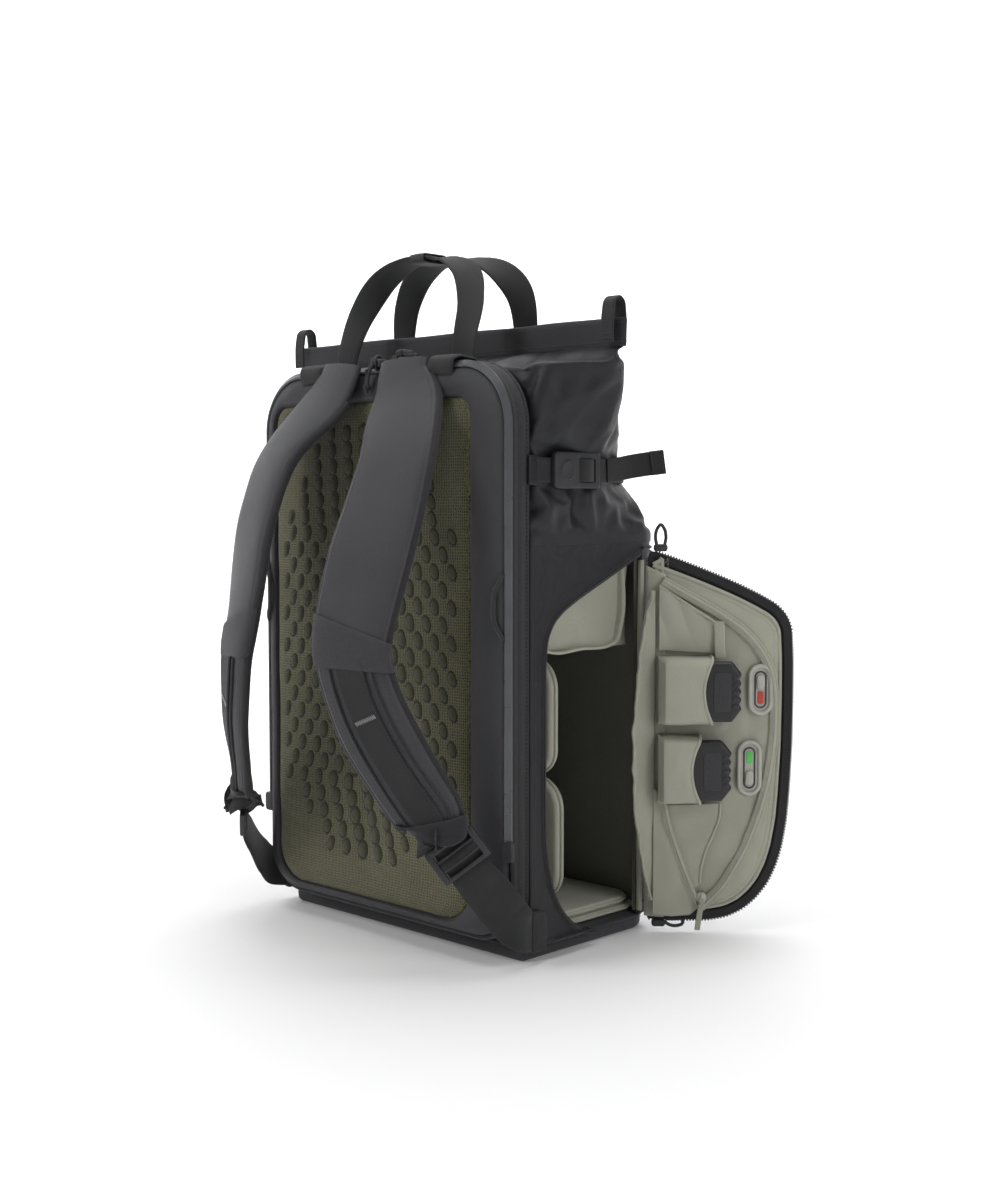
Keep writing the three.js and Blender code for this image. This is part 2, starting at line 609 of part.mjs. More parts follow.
function addPocketFlap(door) {
  const leaf = outline([[1, 46], [10, 40], [22, 48], [32, 70], [33, 117], [32, 204], [27, 246], [1, 246]]);
  const hinge = new THREE.Group();
  hinge.position.set(10, POCKET_FACE - 2.2, 0);
  hinge.rotation.z = THREE.MathUtils.degToRad(-126.5);
  add(hinge, 'pocket_flap', uprightPlate(leaf, [-0.8, 0.8]), LINING);
  door.add(hinge);
  const slider = block([46, 54], [POCKET_FACE - 4, POCKET_FACE - GAP], [30, 38]);
  add(door, 'pocket_zip_slider', slider, LINING);
  const pull = [[50, -12.4, 36], [49.4, -13.2, 26], [48, -13.6, 16], [46, -13.6, 7]];
  const stations = pull.map((at) => ({ at, across: [1, 0, 0], width: 4 }));
  add(door, 'pocket_zip_pull', ribbon(stations, 1.4, 10), LINING);
}

function addDoor(bag) {
  const door = new THREE.Group();
  door.position.set(HINGE_X, HINGE_Y, 0);
  door.rotation.z = THREE.MathUtils.degToRad(DOOR_OPEN - 90);
  addDoorShell(door);
  addDoorZipSliders(door);
  addBatteryPouches(door);
  addPocketFlap(door);
  bag.add(door);
}

function buildBag() {
  const bag = new THREE.Group();
  addBase(bag);
  addFrontPanel(bag);
  addSidePanels(bag);
  addCollar(bag);
  addEndTabs(bag);
  addGusset(bag);
  addSideStraps(bag);
  addHandles(bag);
  addInterior(bag);
  addBackPanel(bag);
  addPanelTrim(bag);
  addPanelZipSliders(bag);
  addShoulderStraps(bag);
  addLadderLocks(bag);
  addDoor(bag);
  return bag;
}

export default buildBag();
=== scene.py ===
"""Roll-top drone backpack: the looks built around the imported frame. Lengths here are millimetres."""
import json
import math
import random

import bmesh
import bpy
import numpy as np
from mathutils import Matrix, Vector, noise
from mathutils.geometry import tessellate_polygon


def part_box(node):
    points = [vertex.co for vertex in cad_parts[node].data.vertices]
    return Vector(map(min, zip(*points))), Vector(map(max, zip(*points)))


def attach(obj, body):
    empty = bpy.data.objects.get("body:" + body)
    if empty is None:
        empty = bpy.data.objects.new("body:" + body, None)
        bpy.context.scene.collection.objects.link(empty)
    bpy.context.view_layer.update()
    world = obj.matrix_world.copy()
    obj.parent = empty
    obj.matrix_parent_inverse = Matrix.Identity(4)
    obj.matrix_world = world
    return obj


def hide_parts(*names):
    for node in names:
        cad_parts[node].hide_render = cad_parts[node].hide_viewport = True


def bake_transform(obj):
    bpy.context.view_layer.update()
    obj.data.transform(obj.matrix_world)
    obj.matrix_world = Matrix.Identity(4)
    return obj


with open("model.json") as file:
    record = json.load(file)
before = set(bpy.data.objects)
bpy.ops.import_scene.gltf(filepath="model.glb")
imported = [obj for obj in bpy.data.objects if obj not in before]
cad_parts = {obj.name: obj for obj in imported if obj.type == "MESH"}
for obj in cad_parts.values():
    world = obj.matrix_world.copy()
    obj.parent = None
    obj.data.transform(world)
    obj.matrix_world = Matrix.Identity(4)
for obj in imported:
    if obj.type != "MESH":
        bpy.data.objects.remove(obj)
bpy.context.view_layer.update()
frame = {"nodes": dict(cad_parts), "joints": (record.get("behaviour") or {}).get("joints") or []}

MM = 0.001
UP = np.array([0.0, 0.0, 1.0])


# ---- the frame, in millimetres ----

def box(node):
    """Lowest and highest corner of a CAD node."""
    low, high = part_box(node)
    return np.array(low) / MM, np.array(high) / MM


PANEL_LOW, PANEL_HIGH = box("back_panel")
GUSSET_LOW, GUSSET_HIGH = box("gusset_band")
RIM_LOW, RIM_HIGH = box("rim_band")
DOOR_JOINT = next(j for j in frame["joints"] if j["name"] == "side_door_hinge")
DOOR_ORIGIN = np.array(DOOR_JOINT["pos_m"][:2] + [0.0]) / MM
OPEN_ANGLE = math.radians(-DOOR_JOINT["range_deg"][0] - 90)
DOOR_ALONG = np.array([math.cos(OPEN_ANGLE), math.sin(OPEN_ANGLE), 0.0])
DOOR_OUT = np.array([-math.sin(OPEN_ANGLE), math.cos(OPEN_ANGLE), 0.0])


def node_points(node):
    return np.array([v.co for v in frame["nodes"][node].data.vertices]) / MM


def cut_points(node, z):
    """Where the node's mesh crosses a level plane."""
    mesh = frame["nodes"][node].data
    points = node_points(node)
    edges = np.array([e.vertices[:] for e in mesh.edges])
    a, b = points[edges[:, 0]], points[edges[:, 1]]
    crossing = (a[:, 2] - z) * (b[:, 2] - z) < 0
    a, b = a[crossing], b[crossing]
    share = (z - a[:, 2]) / (b[:, 2] - a[:, 2])
    return a + (b - a) * share[:, None]


def strap_sections(node, levels):
    """Middle, level direction across and width of a strap's node at each level."""
    found = []
    for z in levels:
        points = cut_points(node, z)
        middle = (points.min(0) + points.max(0)) / 2
        spread = points[:, :2] - points[:, :2].mean(0)
        across = np.linalg.svd(spread)[2][0]
        across = across * math.copysign(1, across[0])
        reach = spread @ across
        found.append((middle, np.array([*across, 0.0]), reach.max() - reach.min()))
    return found


def door_point(u, y, z):
    """Row frame place of a point given along the door, out of it, and in height."""
    return DOOR_ORIGIN + DOOR_ALONG * u + DOOR_OUT * y + UP * z


# ---- curves ----

def unit(vector):
    return vector / (np.linalg.norm(vector, axis=-1, keepdims=True) + 1e-12)


def smooth_line(points, count):
    """Even points on a smooth curve through the given ones."""
    points = np.array(points, float)
    chord = np.concatenate([[0], np.cumsum(np.linalg.norm(np.diff(points, axis=0), axis=1))])
    slopes = np.gradient(points, chord, axis=0)
    at = np.linspace(0, chord[-1], count)
    k = np.clip(np.searchsorted(chord, at) - 1, 0, len(points) - 2)
    span = (chord[k + 1] - chord[k])[:, None]
    t = (at[:, None] - chord[k][:, None]) / span
    low, high = points[k], points[k + 1]
    return (low * (1 + 2 * t) * (1 - t) ** 2 + high * t * t * (3 - 2 * t)
            + span * (slopes[k] * t * (1 - t) ** 2 + slopes[k + 1] * t * t * (t - 1)))


def spread(values, count):
    """Values eased to a new count."""
    values = np.array(values, float)
    old = np.linspace(0, 1, len(values))
    new = np.linspace(0, 1, count)
    return np.interp(new, old, values)


def rounded_outline(x, z, radii, step=4.0):
    """Counter-clockwise points of a rectangle with its own radius at each corner:
    lower right, upper right, upper left, lower left."""
    centres = [(x[1], z[0], -90), (x[1], z[1], 0), (x[0], z[1], 90), (x[0], z[0], 180)]
    inward = [(-1, 1), (-1, -1), (1, -1), (1, 1)]
    points = []
    for (cx, cz, start), (sx, sz), r in zip(centres, inward, radii):
        count = max(3, int(r * math.pi / 2 / step) + 1)
        for k in range(count + 1):
            angle = math.radians(start + 90 * k / count)
            points.append((cx + sx * r + r * math.cos(angle), cz + sz * r + r * math.sin(angle)))
    return even_outline(points, step)


def even_outline(points, step):
    """The closed outline again, with points about one step apart."""
    points = np.array(points, float)
    ring = np.vstack([points, points[:1]])
    length = np.concatenate([[0], np.cumsum(np.linalg.norm(np.diff(ring, axis=0), axis=1))])
    count = max(8, int(length[-1] / step))
    at = np.linspace(0, length[-1], count, endpoint=False)
    return np.stack([np.interp(at, length, ring[:, k]) for k in range(ring.shape[1])], axis=1)


def soft_outline(points, step=4.0, passes=3):
    """An even closed outline whose corners are eased."""
    ring = even_outline(points, step)
    for _ in range(passes):
        ring = (np.roll(ring, 1, 0) + 2 * ring + np.roll(ring, -1, 0)) / 4
    return ring


def rings_inward(outline, insets):
    """Copies of a closed outline moved inwards, each by its own distance."""
    ahead = np.roll(outline, -1, 0) - np.roll(outline, 1, 0)
    inward = unit(np.stack([-ahead[:, 1], ahead[:, 0]], axis=1))
    return [outline + inward * d for d in insets]


def wobble(points, size, seed=0.0):
    """Smooth noise from -1 to 1 at each point, with features of about the given size."""
    return np.array([noise.noise(Vector((p[0] / size + seed, p[1] / size, p[2] / size)))
                     for p in points])


# ---- meshes ----

def make_object(name, points, faces, uvs=None):
    mesh = bpy.data.meshes.new(name)
    mesh.from_pydata([tuple(p * MM) for p in np.array(points, float)], [], faces)
    if uvs is not None:
        layer = mesh.uv_layers.new(name="UVMap")
        corners = np.empty(len(mesh.loops), int)
        mesh.loops.foreach_get("vertex_index", corners)
        layer.data.foreach_set("uv", np.array(uvs, float)[corners].ravel())
    obj = bpy.data.objects.new(name, mesh)
    bpy.context.scene.collection.objects.link(obj)
    tidy_normals(obj)
    return obj


def tidy_normals(obj, sharp=50):
    """Outward faces, smooth shading and crisp edges where faces meet at more than sharp degrees."""
    work = bmesh.new()
    work.from_mesh(obj.data)
    bmesh.ops.recalc_face_normals(work, faces=work.faces)
    limit = math.radians(sharp)
    for face in work.faces:
        face.smooth = True
    for edge in work.edges:
        edge.smooth = not (edge.is_manifold and edge.calc_face_angle(0) > limit)
    work.to_mesh(obj.data)
    work.free()


def grid_faces(rows, columns, wrap, start=0):
    faces = []
    for r in range(rows - 1):
        for c in range(columns if wrap else columns - 1):
            d = (c + 1) % columns
            a, b = start + r * columns + c, start + r * columns + d
            faces.append((a, b, b + columns, a + columns))
    return faces


def skin(name, rings, wrap=True, caps=(True, True), uvs=None):
    """A surface through rings of equal point count."""
    rings = np.array(rings, float)
    rows, columns = rings.shape[:2]
    faces = grid_faces(rows, columns, wrap)
    if wrap and caps[0]:
        faces.append(tuple(range(columns))[::-1])
    if wrap and caps[1]:
        faces.append(tuple(range((rows - 1) * columns, rows * columns)))
    return make_object(name, rings.reshape(-1, 3), faces, uvs)


def sweep_frames(line, across):
    """Tangent, across and outward directions along a line."""
    along = unit(np.gradient(line, axis=0))
    across = unit(across - along * (across * along).sum(1, keepdims=True))
    return along, across, np.cross(along, across)


def ribbon(name, line, across, widths, section, flip=1.0):
    """A strap along a line. section gives points (across, outward) for a half width."""
    _, across, outward = sweep_frames(line, across)
    rings, uvs = [], []
    run = np.concatenate([[0], np.cumsum(np.linalg.norm(np.diff(line, axis=0), axis=1))])
    for k in range(len(line)):
        shape = section(widths[k] / 2)
        rings.append(line[k] + shape[:, :1] * across[k] + shape[:, 1:] * outward[k] * flip)
        uvs.extend((a * MM, run[k] * MM) for a in shape[:, 0])
    return skin(name, rings, uvs=uvs)


def flat_section(thickness, edge=0.8, ridges=0, ridge=0.0):
    """Cross-section of flat webbing with rounded edges and, if asked, lengthwise ridges."""
    def shape(half):
        columns = 9 if not ridges else 4 * ridges + 1
        across = np.linspace(-(half - edge), half - edge, columns)
        lift = ridge * np.cos(across / half * math.pi * ridges) if ridges else 0 * across
        h = thickness / 2
        top = np.stack([across, h + lift], 1)
        side = [(half - edge * 0.3, h * 0.6), (half, 0), (half - edge * 0.3, -h * 0.6)]
        bottom = np.stack([across[::-1], -h - 0 * lift], 1)
        other = [(-a, -b) for a, b in side]
        return np.vstack([top, side, bottom, other])
    return shape


def crowned_section(thickness, crown, count=28, power=3.2):
    """Cross-section of a padded strap: flat below, crowned above, with full round edges."""
    def shape(half):
        angle = np.linspace(0, 2 * math.pi, count, endpoint=False)
        c, s = np.cos(angle), np.sin(angle)
        a = np.sign(c) * np.abs(c) ** (2 / power) * half
        b = np.sign(s) * np.abs(s) ** (2 / power) * thickness / 2
        b = np.where(b > 0, b + crown * (1 - (a / half) ** 2), b)
        return np.stack([a, b], 1)
    return shape


def tube(name, line, radius, sides=10, closed=False):
    """A round cord or piping along a line of points."""
    line = np.array(line, float)
    along = unit(np.gradient(line, axis=0) if not closed
                 else np.roll(line, -1, 0) - np.roll(line, 1, 0))
    reference = np.tile([0.31, 0.52, 0.79], (len(line), 1))
    side = unit(np.cross(along, reference))
    other = np.cross(along, side)
    radii = np.broadcast_to(radius, (len(line),))
    angle = np.linspace(0, 2 * math.pi, sides, endpoint=False)
    rings = [line[k] + radii[k] * (np.cos(angle)[:, None] * side[k] + np.sin(angle)[:, None] * other[k])
             for k in range(len(line))]
    if closed:
        rings.append(rings[0])
        return skin(name, rings, caps=(False, False))
    return skin(name, rings)


def slab(name, outline, place, front, back, rounding=1.5, bulge=0.0, sag=None):
    """A padded slab. outline is closed and flat; place maps (a, b, depth) to the row frame;
    front and back are depths. Its edges are round and its faces swell by bulge."""
    r = rounding
    steps = [0.0, 0.3, 0.7, 1.0]
    front_insets = [r * (1 - math.cos(s * math.pi / 2)) for s in steps]
    edge_rings = rings_inward(outline, front_insets)
    sign = math.copysign(1, back - front)
    rings = []
    middle = outline.mean(0)
    shrink = [0.12, 0.3, 0.5, 0.7, 0.88]
    for depth, way in ((front, 1), (back, -1)):
        side = [(ring, depth + way * sign * r * (1 - math.sin(s * math.pi / 2)))
                for ring, s in zip(edge_rings, steps)]
        last = edge_rings[-1]
        crown = [(last + (middle - last) * s, depth - way * sign * bulge * math.sin(s * math.pi / 2))
                 for s in shrink]
        rows = side + crown
        rings.extend(rows[::-1] if way == 1 else rows)
    surface = [[place(a, b, d) for a, b in ring] for ring, d in rings]
    obj = skin(name, surface)
    if sag:
        sag(obj)
    return obj


def facing_panel(a, b, depth):
    """Slab placing for pieces drawn in X and Z with depth along Y."""
    return np.array([a, depth, b])


def facing_side(a, b, depth):
    """Slab placing for pieces drawn in Y and Z with depth along X."""
    return np.array([depth, a, b])


def facing_up(a, b, depth):
    return np.array([a, b, depth])


def on_door(a, b, depth):
    """Slab placing for pieces drawn along the door and in height."""
    return door_point(a, depth, b)


def subdivide(obj, levels=1):
    modifier = obj.modifiers.new("smooth", "SUBSURF")
    modifier.levels = modifier.render_levels = levels
    apply_modifiers(obj)
    return obj


def apply_modifiers(obj):
    graph = bpy.context.evaluated_depsgraph_get()
    mesh = bpy.data.meshes.new_from_object(obj.evaluated_get(graph))
    obj.modifiers.clear()
    obj.data = mesh
    return obj


def mirrored(obj, name):
    copy = obj.copy()
    copy.data = obj.data.copy()
    copy.name = copy.data.name = name
    bpy.context.scene.collection.objects.link(copy)
    copy.data.transform(Matrix.Scale(-1, 4, (1, 0, 0)))
    copy.data.flip_normals()
    return copy


def joined(name, pieces):
    """One object from several of the same material."""
    work = bmesh.new()
    for piece in pieces:
        piece.data.transform(piece.matrix_world)
        work.from_mesh(piece.data)
    mesh = bpy.data.meshes.new(name)
    work.to_mesh(mesh)
    work.free()
    for piece in pieces:
        bpy.data.objects.remove(piece)
    obj = bpy.data.objects.new(name, mesh)
    bpy.context.scene.collection.objects.link(obj)
    return obj


def stitches(name, line, outward, pitch=3.4, length=2.3, radius=0.32, closed=False):
    """A row of short thread stitches along a line that lies on a surface."""
    line = np.array(line, float)
    if closed:
        line = np.vstack([line, line[:1]])
    run = np.concatenate([[0], np.cumsum(np.linalg.norm(np.diff(line, axis=0), axis=1))])
    starts = np.arange(pitch / 2, run[-1] - pitch / 2, pitch)
    lift = np.broadcast_to(np.array(outward, float), line.shape)
    points, faces = [], []
    profile = [(-0.5, 0.25), (-0.32, 1.0), (0.32, 1.0), (0.5, 0.25)]
    for s in starts:
        here = np.array([np.interp(s, run, line[:, k]) for k in range(3)])
        ahead = np.array([np.interp(s + 1, run, line[:, k]) for k in range(3)])
        up = unit(np.array([np.interp(s, run, lift[:, k]) for k in range(3)]))
        along = unit(ahead - here)
        across = np.cross(up, along)
        base = len(points)
        for offset, grow in profile:
            centre = here + along * offset * length
            for angle in np.linspace(0, 2 * math.pi, 5, endpoint=False):
                points.append(centre + radius * grow
                              * (math.cos(angle) * across + 0.8 * math.sin(angle) * up))
        faces += grid_faces(len(profile), 5, True, base)
        faces += [tuple(base + k for k in range(5))[::-1], tuple(base + 15 + k for k in range(5))]
    return make_object(name, points, faces)


def finish_piece(obj, body, slot, material, *nodes):
    """Sets the look of a piece, the body that it rides on and the CAD nodes that it stands for."""
    obj.data.materials.clear()
    obj.data.materials.append(material)
    if body:
        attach(obj, body)
    if nodes:
        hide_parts(*nodes)
    return obj


# ---- materials ----

class Nodes:
    """A material's node tree with short calls to add and link nodes."""

    def __init__(self, name):
        self.material = bpy.data.materials.new(name)
        self.material.use_nodes = True
        self.tree = self.material.node_tree
        self.shader = self.tree.nodes["Principled BSDF"]

    def node(self, kind, inputs=None, **settings):
        made = self.tree.nodes.new(kind)
        for key, value in settings.items():
            setattr(made, key, value)
        for key, value in (inputs or {}).items():
            if isinstance(value, bpy.types.NodeSocket):
                self.tree.links.new(value, made.inputs[key])
            else:
                made.inputs[key].default_value = value
        return made

    def math(self, operation, first, second=0.0):
        return self.node("ShaderNodeMath", {0: first, 1: second}, operation=operation).outputs[0]

    def place(self, source="Object", turn=(0, 0, 0), stretch=(1, 1, 1)):
        """Coordinates in millimetres."""
        where = self.node("ShaderNodeTexCoord").outputs[source]
        scale = [s / MM for s in stretch]
        mapping = self.node("ShaderNodeMapping", {"Vector": where, "Rotation": turn, "Scale": scale})
        return mapping.outputs[0]

    def noise(self, where, size, detail=2.0, roughness=0.5):
        made = self.node("ShaderNodeTexNoise", {"Vector": where, "Scale": 1 / size,
                                                "Detail": detail, "Roughness": roughness})
        return made.outputs["Fac"]

    def wave(self, where, pitch, direction):
        made = self.node("ShaderNodeTexWave", {"Vector": where, "Scale": math.pi / 10 / pitch * 2},
                         wave_type="BANDS", bands_direction=direction)
        return made.outputs["Fac"]

    def ramp(self, value, stops):
        made = self.node("ShaderNodeValToRGB", {"Fac": value})
        ramp = made.color_ramp
        for element, (at, colour) in zip(ramp.elements, (stops[0], stops[-1])):
            element.position = at
            element.color = (*colour, 1)
        for at, colour in stops[1:-1]:
            element = ramp.elements.new(at)
            element.color = (*colour, 1)
        return made.outputs["Color"]

    def mix(self, share, first, second, blend="MIX"):
        made = self.node("ShaderNodeMix", data_type="RGBA", blend_type=blend)
        for key, value in ((0, share), (6, first), (7, second)):
            if isinstance(value, bpy.types.NodeSocket):
                self.tree.links.new(value, made.inputs[key])
            elif key == 0:
                made.inputs[0].default_value = value
            else:
                made.inputs[key].default_value = (*value, 1)
        return made.outputs[2]

    def bump(self, height, depth, normal=None):
        inputs = {"Height": height, "Strength": 1.0, "Distance": depth * MM}
        if normal is not None:
            inputs["Normal"] = normal
        return self.node("ShaderNodeBump", inputs).outputs[0]

    def set(self, **sockets):
        names = {key.lower().replace(" ", "_"): key for key in self.shader.inputs.keys()}
        for key, value in sockets.items():
            socket = self.shader.inputs[names[key]]
            if isinstance(value, bpy.types.NodeSocket):
                self.tree.links.new(value, socket)
            else:
                socket.default_value = value
        return self.material


def tone(colour, factor):
    return tuple(min(1.0, c * factor) for c in colour)


def woven(name, colour, pitch=0.7, depth=0.10, rough=(0.6, 0.8), sheen=0.15, patch=70.0,
          contrast=0.16, wear=0.2, source="Object", creases=0.0, coat=0.0, flecks=0.3):
    """Plain weave: crossed yarns, patchy tone, yarn-scale fleck, worn edges and soft sheen."""
    n = Nodes(name)
    where = n.place(source)
    yarns = [n.wave(where, pitch, d) for d in ("X", "Z" if source == "Object" else "Y")]
    third = n.wave(where, pitch, "Y") if source == "Object" else yarns[0]
    weave = n.math("ADD", n.math("MULTIPLY", yarns[0], yarns[1]), n.math("MULTIPLY", third, 0.5))
    patches = n.noise(where, patch, 3.0)
    fleck = n.noise(where, pitch * 2.2, 2.0, 0.7)
    base = n.ramp(patches, [(0.3, tone(colour, 1 - contrast)), (0.7, tone(colour, 1 + contrast))])
    flecked = n.mix(flecks, base, n.ramp(fleck, [(0.3, tone(colour, 0.6)), (0.7, tone(colour, 1.4))]))
    edge = n.node("ShaderNodeNewGeometry").outputs["Pointiness"]
    worn = n.math("MULTIPLY", n.node("ShaderNodeMapRange", {
        "Value": edge, "From Min": 0.505, "From Max": 0.56}).outputs[0], wear)
    final = n.mix(worn, flecked, tone(colour, 2.0))
    roughness = n.node("ShaderNodeMapRange", {"Value": patches, "From Min": 0.3, "From Max": 0.7,
                                              "To Min": rough[0], "To Max": rough[1]}).outputs[0]
    normal = n.bump(weave, depth)
    if creases:
        folds = n.noise(n.place(source, stretch=(1, 1, 0.5)), 26.0, 4.0, 0.55)
        normal = n.bump(folds, creases, normal)
    return n.set(base_color=final, roughness=roughness, normal=normal, sheen_weight=sheen,
                 sheen_roughness=0.45,
                 specular_ior_level=0.32, coat_weight=coat, coat_roughness=0.35)


def webbing_cloth(name, colour, rib=1.5, depth=0.35):
    """Webbing: ribs across the strap and chevron yarns along it, laid out by the strap's own UVs."""
    n = Nodes(name)
    where = n.place("UV")
    ribs = n.wave(where, rib, "Y")
    yarns = n.wave(where, rib * 0.8, "X")
    chevron = n.wave(n.place("UV", turn=(0, 0, 0.7)), rib * 0.9, "X")
    pattern = n.math("ADD", n.math("MULTIPLY", ribs, yarns), n.math("MULTIPLY", chevron, 0.6))
    patches = n.noise(n.place(), 30.0, 3.0)
    shade = n.math("ADD", n.math("MULTIPLY", pattern, 0.5), n.math("MULTIPLY", patches, 0.6))
    base = n.ramp(shade, [(0.2, tone(colour, 0.65)), (0.6, colour), (0.95, tone(colour, 1.6))])
    return n.set(base_color=base, roughness=0.72, normal=n.bump(pattern, depth),
                 sheen_weight=0.12, sheen_roughness=0.4)


def moulded(name, colour, rough=(0.38, 0.5), grain=0.05, wear=0.35):
    """Moulded plastic: fine spark texture, uneven gloss, rubbed edges."""
    n = Nodes(name)
    where = n.place()
    texture = n.noise(where, 0.5, 2.0)
    smudge = n.noise(where, 22.0, 3.0)
    edge = n.node("ShaderNodeNewGeometry").outputs["Pointiness"]
    worn = n.math("MULTIPLY", n.node("ShaderNodeMapRange", {
        "Value": edge, "From Min": 0.51, "From Max": 0.6}).outputs[0], wear)
    base = n.ramp(smudge, [(0.3, tone(colour, 0.88)), (0.7, tone(colour, 1.12))])
    roughness = n.node("ShaderNodeMapRange", {"Value": smudge, "From Min": 0.3, "From Max": 0.7,
                                              "To Min": rough[0], "To Max": rough[1]}).outputs[0]
    return n.set(base_color=n.mix(worn, base, tone(colour, 2.2)), roughness=roughness,
                 normal=n.bump(texture, grain))


def spacer_mesh(name, ground, thread):
    """Open 3-D mesh: dark holes between knitted threads."""
    n = Nodes(name)
    where = n.place()
    cells = n.node("ShaderNodeTexVoronoi", {"Vector": n.place(stretch=(1, 0.2, 0.8)), "Scale": 1 / 1.9,
                                            "Randomness": 0.35}, feature="DISTANCE_TO_EDGE")
    wall = n.node("ShaderNodeMapRange", {"Value": cells.outputs["Distance"], "From Min": 0.05,
                                         "From Max": 0.32}).outputs[0]
    patches = n.noise(where, 45.0, 3.0)
    lit = n.mix(patches, tone(thread, 0.75), tone(thread, 1.3))
    base = n.mix(wall, lit, ground)
    height = n.math("SUBTRACT", 1.0, wall)
    return n.set(base_color=base, roughness=0.85, normal=n.bump(height, 0.5),
                 sheen_weight=0.25, sheen_roughness=0.4)


CHARCOAL = (0.036, 0.036, 0.040)
STRAP_TONE = (0.042, 0.042, 0.047)
SAGE = (0.375, 0.375, 0.305)

PANEL_CLOTH = woven("panel_cloth", CHARCOAL, pitch=0.55, depth=0.05, rough=(0.44, 0.58), sheen=0.05)
STRAP_CLOTH = woven("strap_cloth", STRAP_TONE, pitch=0.5, depth=0.04, rough=(0.42, 0.56), sheen=0.05)
GUSSET_CLOTH = woven("gusset_cloth", tone(CHARCOAL, 0.55), pitch=1.1, depth=0.22, rough=(0.6, 0.75))
NYLON_CLOTH = woven("nylon_cloth", (0.013, 0.013, 0.0155), pitch=0.45, depth=0.03,
                    rough=(0.38, 0.5), sheen=0.02, creases=0.9, coat=0.06)
# The rim's nylon has about twice the collar nylon's tone: painted light for the rim's face turned to the lamps.
RIM_CLOTH_PAINTED_LIGHT = woven("rim_cloth_painted_light", (0.026, 0.026, 0.030), pitch=0.45, depth=0.04,
                  rough=(0.42, 0.55), sheen=0.03, creases=0.5)
SPACER = spacer_mesh("spacer_mesh", (0.022, 0.021, 0.012), (0.165, 0.155, 0.080))
POD_CLOTH = woven("pod_cloth", (0.078, 0.074, 0.042), pitch=0.9, depth=0.3, rough=(0.7, 0.85))
WEBBING = webbing_cloth("webbing_cloth", (0.013, 0.013, 0.0145))
BINDING = woven("binding_cloth", (0.018, 0.018, 0.020), pitch=0.8, depth=0.12)
LINING_CLOTH = woven("lining_cloth", SAGE, pitch=0.5, depth=0.05, rough=(0.62, 0.8), sheen=0.2,
                     contrast=0.06, wear=0.05, creases=0.5, flecks=0.1)
LINING_TRIM = woven("lining_trim", tone(SAGE, 1.1), pitch=1.0, depth=0.2, contrast=0.05, wear=0.05,
                    flecks=0.15)
COATED = moulded("coated_zip", (0.080, 0.082, 0.089), rough=(0.26, 0.34), grain=0.02, wear=0.0)
PLASTIC = moulded("buckle_plastic", (0.022, 0.022, 0.025), rough=(0.42, 0.55), grain=0.08)
BATTERY_PLASTIC = moulded("battery_plastic", (0.012, 0.012, 0.013), rough=(0.35, 0.5))
STATUS_PLASTIC = moulded("status_plastic", (0.42, 0.41, 0.36), rough=(0.4, 0.5), wear=0.1)
THREAD_DARK = woven("thread_dark", (0.05, 0.05, 0.055), pitch=0.4, depth=0.05)
THREAD_LIGHT = woven("thread_light", (0.42, 0.43, 0.42), pitch=0.4, depth=0.05)
THREAD_SAGE = woven("thread_sage", tone(SAGE, 0.8), pitch=0.4, depth=0.05)
CORD_BRAID = woven("cord_braid", (0.03, 0.03, 0.032), pitch=0.9, depth=0.3)
SIGNAL_RED = moulded("signal_red", (0.55, 0.06, 0.04))
SIGNAL_GREEN = moulded("signal_green", (0.10, 0.55, 0.10))


# ---- camera, floor and light ----

def point_at(obj, target):
    direction = Vector(target) - obj.location
    obj.rotation_euler = direction.to_track_quat("-Z", "Y").to_euler()


def make_camera():
    """Stands at the near right corner behind the wearer, and looks slightly down."""
    azimuth = math.radians(44.1)
    down = math.radians(3.82)
    camera = bpy.data.cameras.new("camera")
    camera.lens = 48.12
    obj = bpy.data.objects.new("camera", camera)
    obj.location = (1.0299, -1.0132, 0.3837)
    obj.rotation_euler = (math.pi / 2 - down, 0, azimuth)
    bpy.context.scene.collection.objects.link(obj)
    bpy.context.scene.camera = obj


def make_stage():
    """A seamless pale sweep: a level floor that curves up far behind the object."""
    profile = [(-6000, 0), (1500, 0)]
    profile += [(1500 + 900 * math.sin(a), 900 - 900 * math.cos(a))
                for a in np.linspace(0.1, math.pi / 2, 12)]
    profile.append((2400, 6000))
    turn = math.radians(44.1)
    forward = np.array([-math.sin(turn), math.cos(turn), 0])
    across = np.array([math.cos(turn), math.sin(turn), 0])
    rings = [[forward * d + UP * z + across * w for w in (-6000, 6000)] for d, z in profile]
    floor = skin("floor", rings, wrap=False)
    n = Nodes("floor_paint")
    where = n.place()
    shade = n.noise(where, 900.0, 2.0)
    base = n.ramp(shade, [(0.3, (0.86, 0.86, 0.865)), (0.7, (0.90, 0.90, 0.905))])
    # The far half glows: it whitens the backdrop and leaves the object's near faces in soft contrast.
    away = n.node("ShaderNodeVectorMath", {0: where, 1: tuple(forward)},
                  operation="DOT_PRODUCT").outputs["Value"]
    glow = n.node("ShaderNodeMapRange", {"Value": away, "From Min": 150.0, "From Max": 1500.0,
                                         "To Min": 0.06, "To Max": 0.75}).outputs[0]
    floor.data.materials.append(n.set(base_color=base, roughness=0.6, emission_color=(1, 1, 1, 1),
                                      emission_strength=glow))


def area_light(name, place, target, size, power, colour=(1, 1, 1)):
    light = bpy.data.lights.new(name, "AREA")
    light.shape = "RECTANGLE"
    light.size, light.size_y = size
    light.energy = power
    light.color = colour
    obj = bpy.data.objects.new(name, light)
    obj.location = place
    bpy.context.scene.collection.objects.link(obj)
    point_at(obj, target)


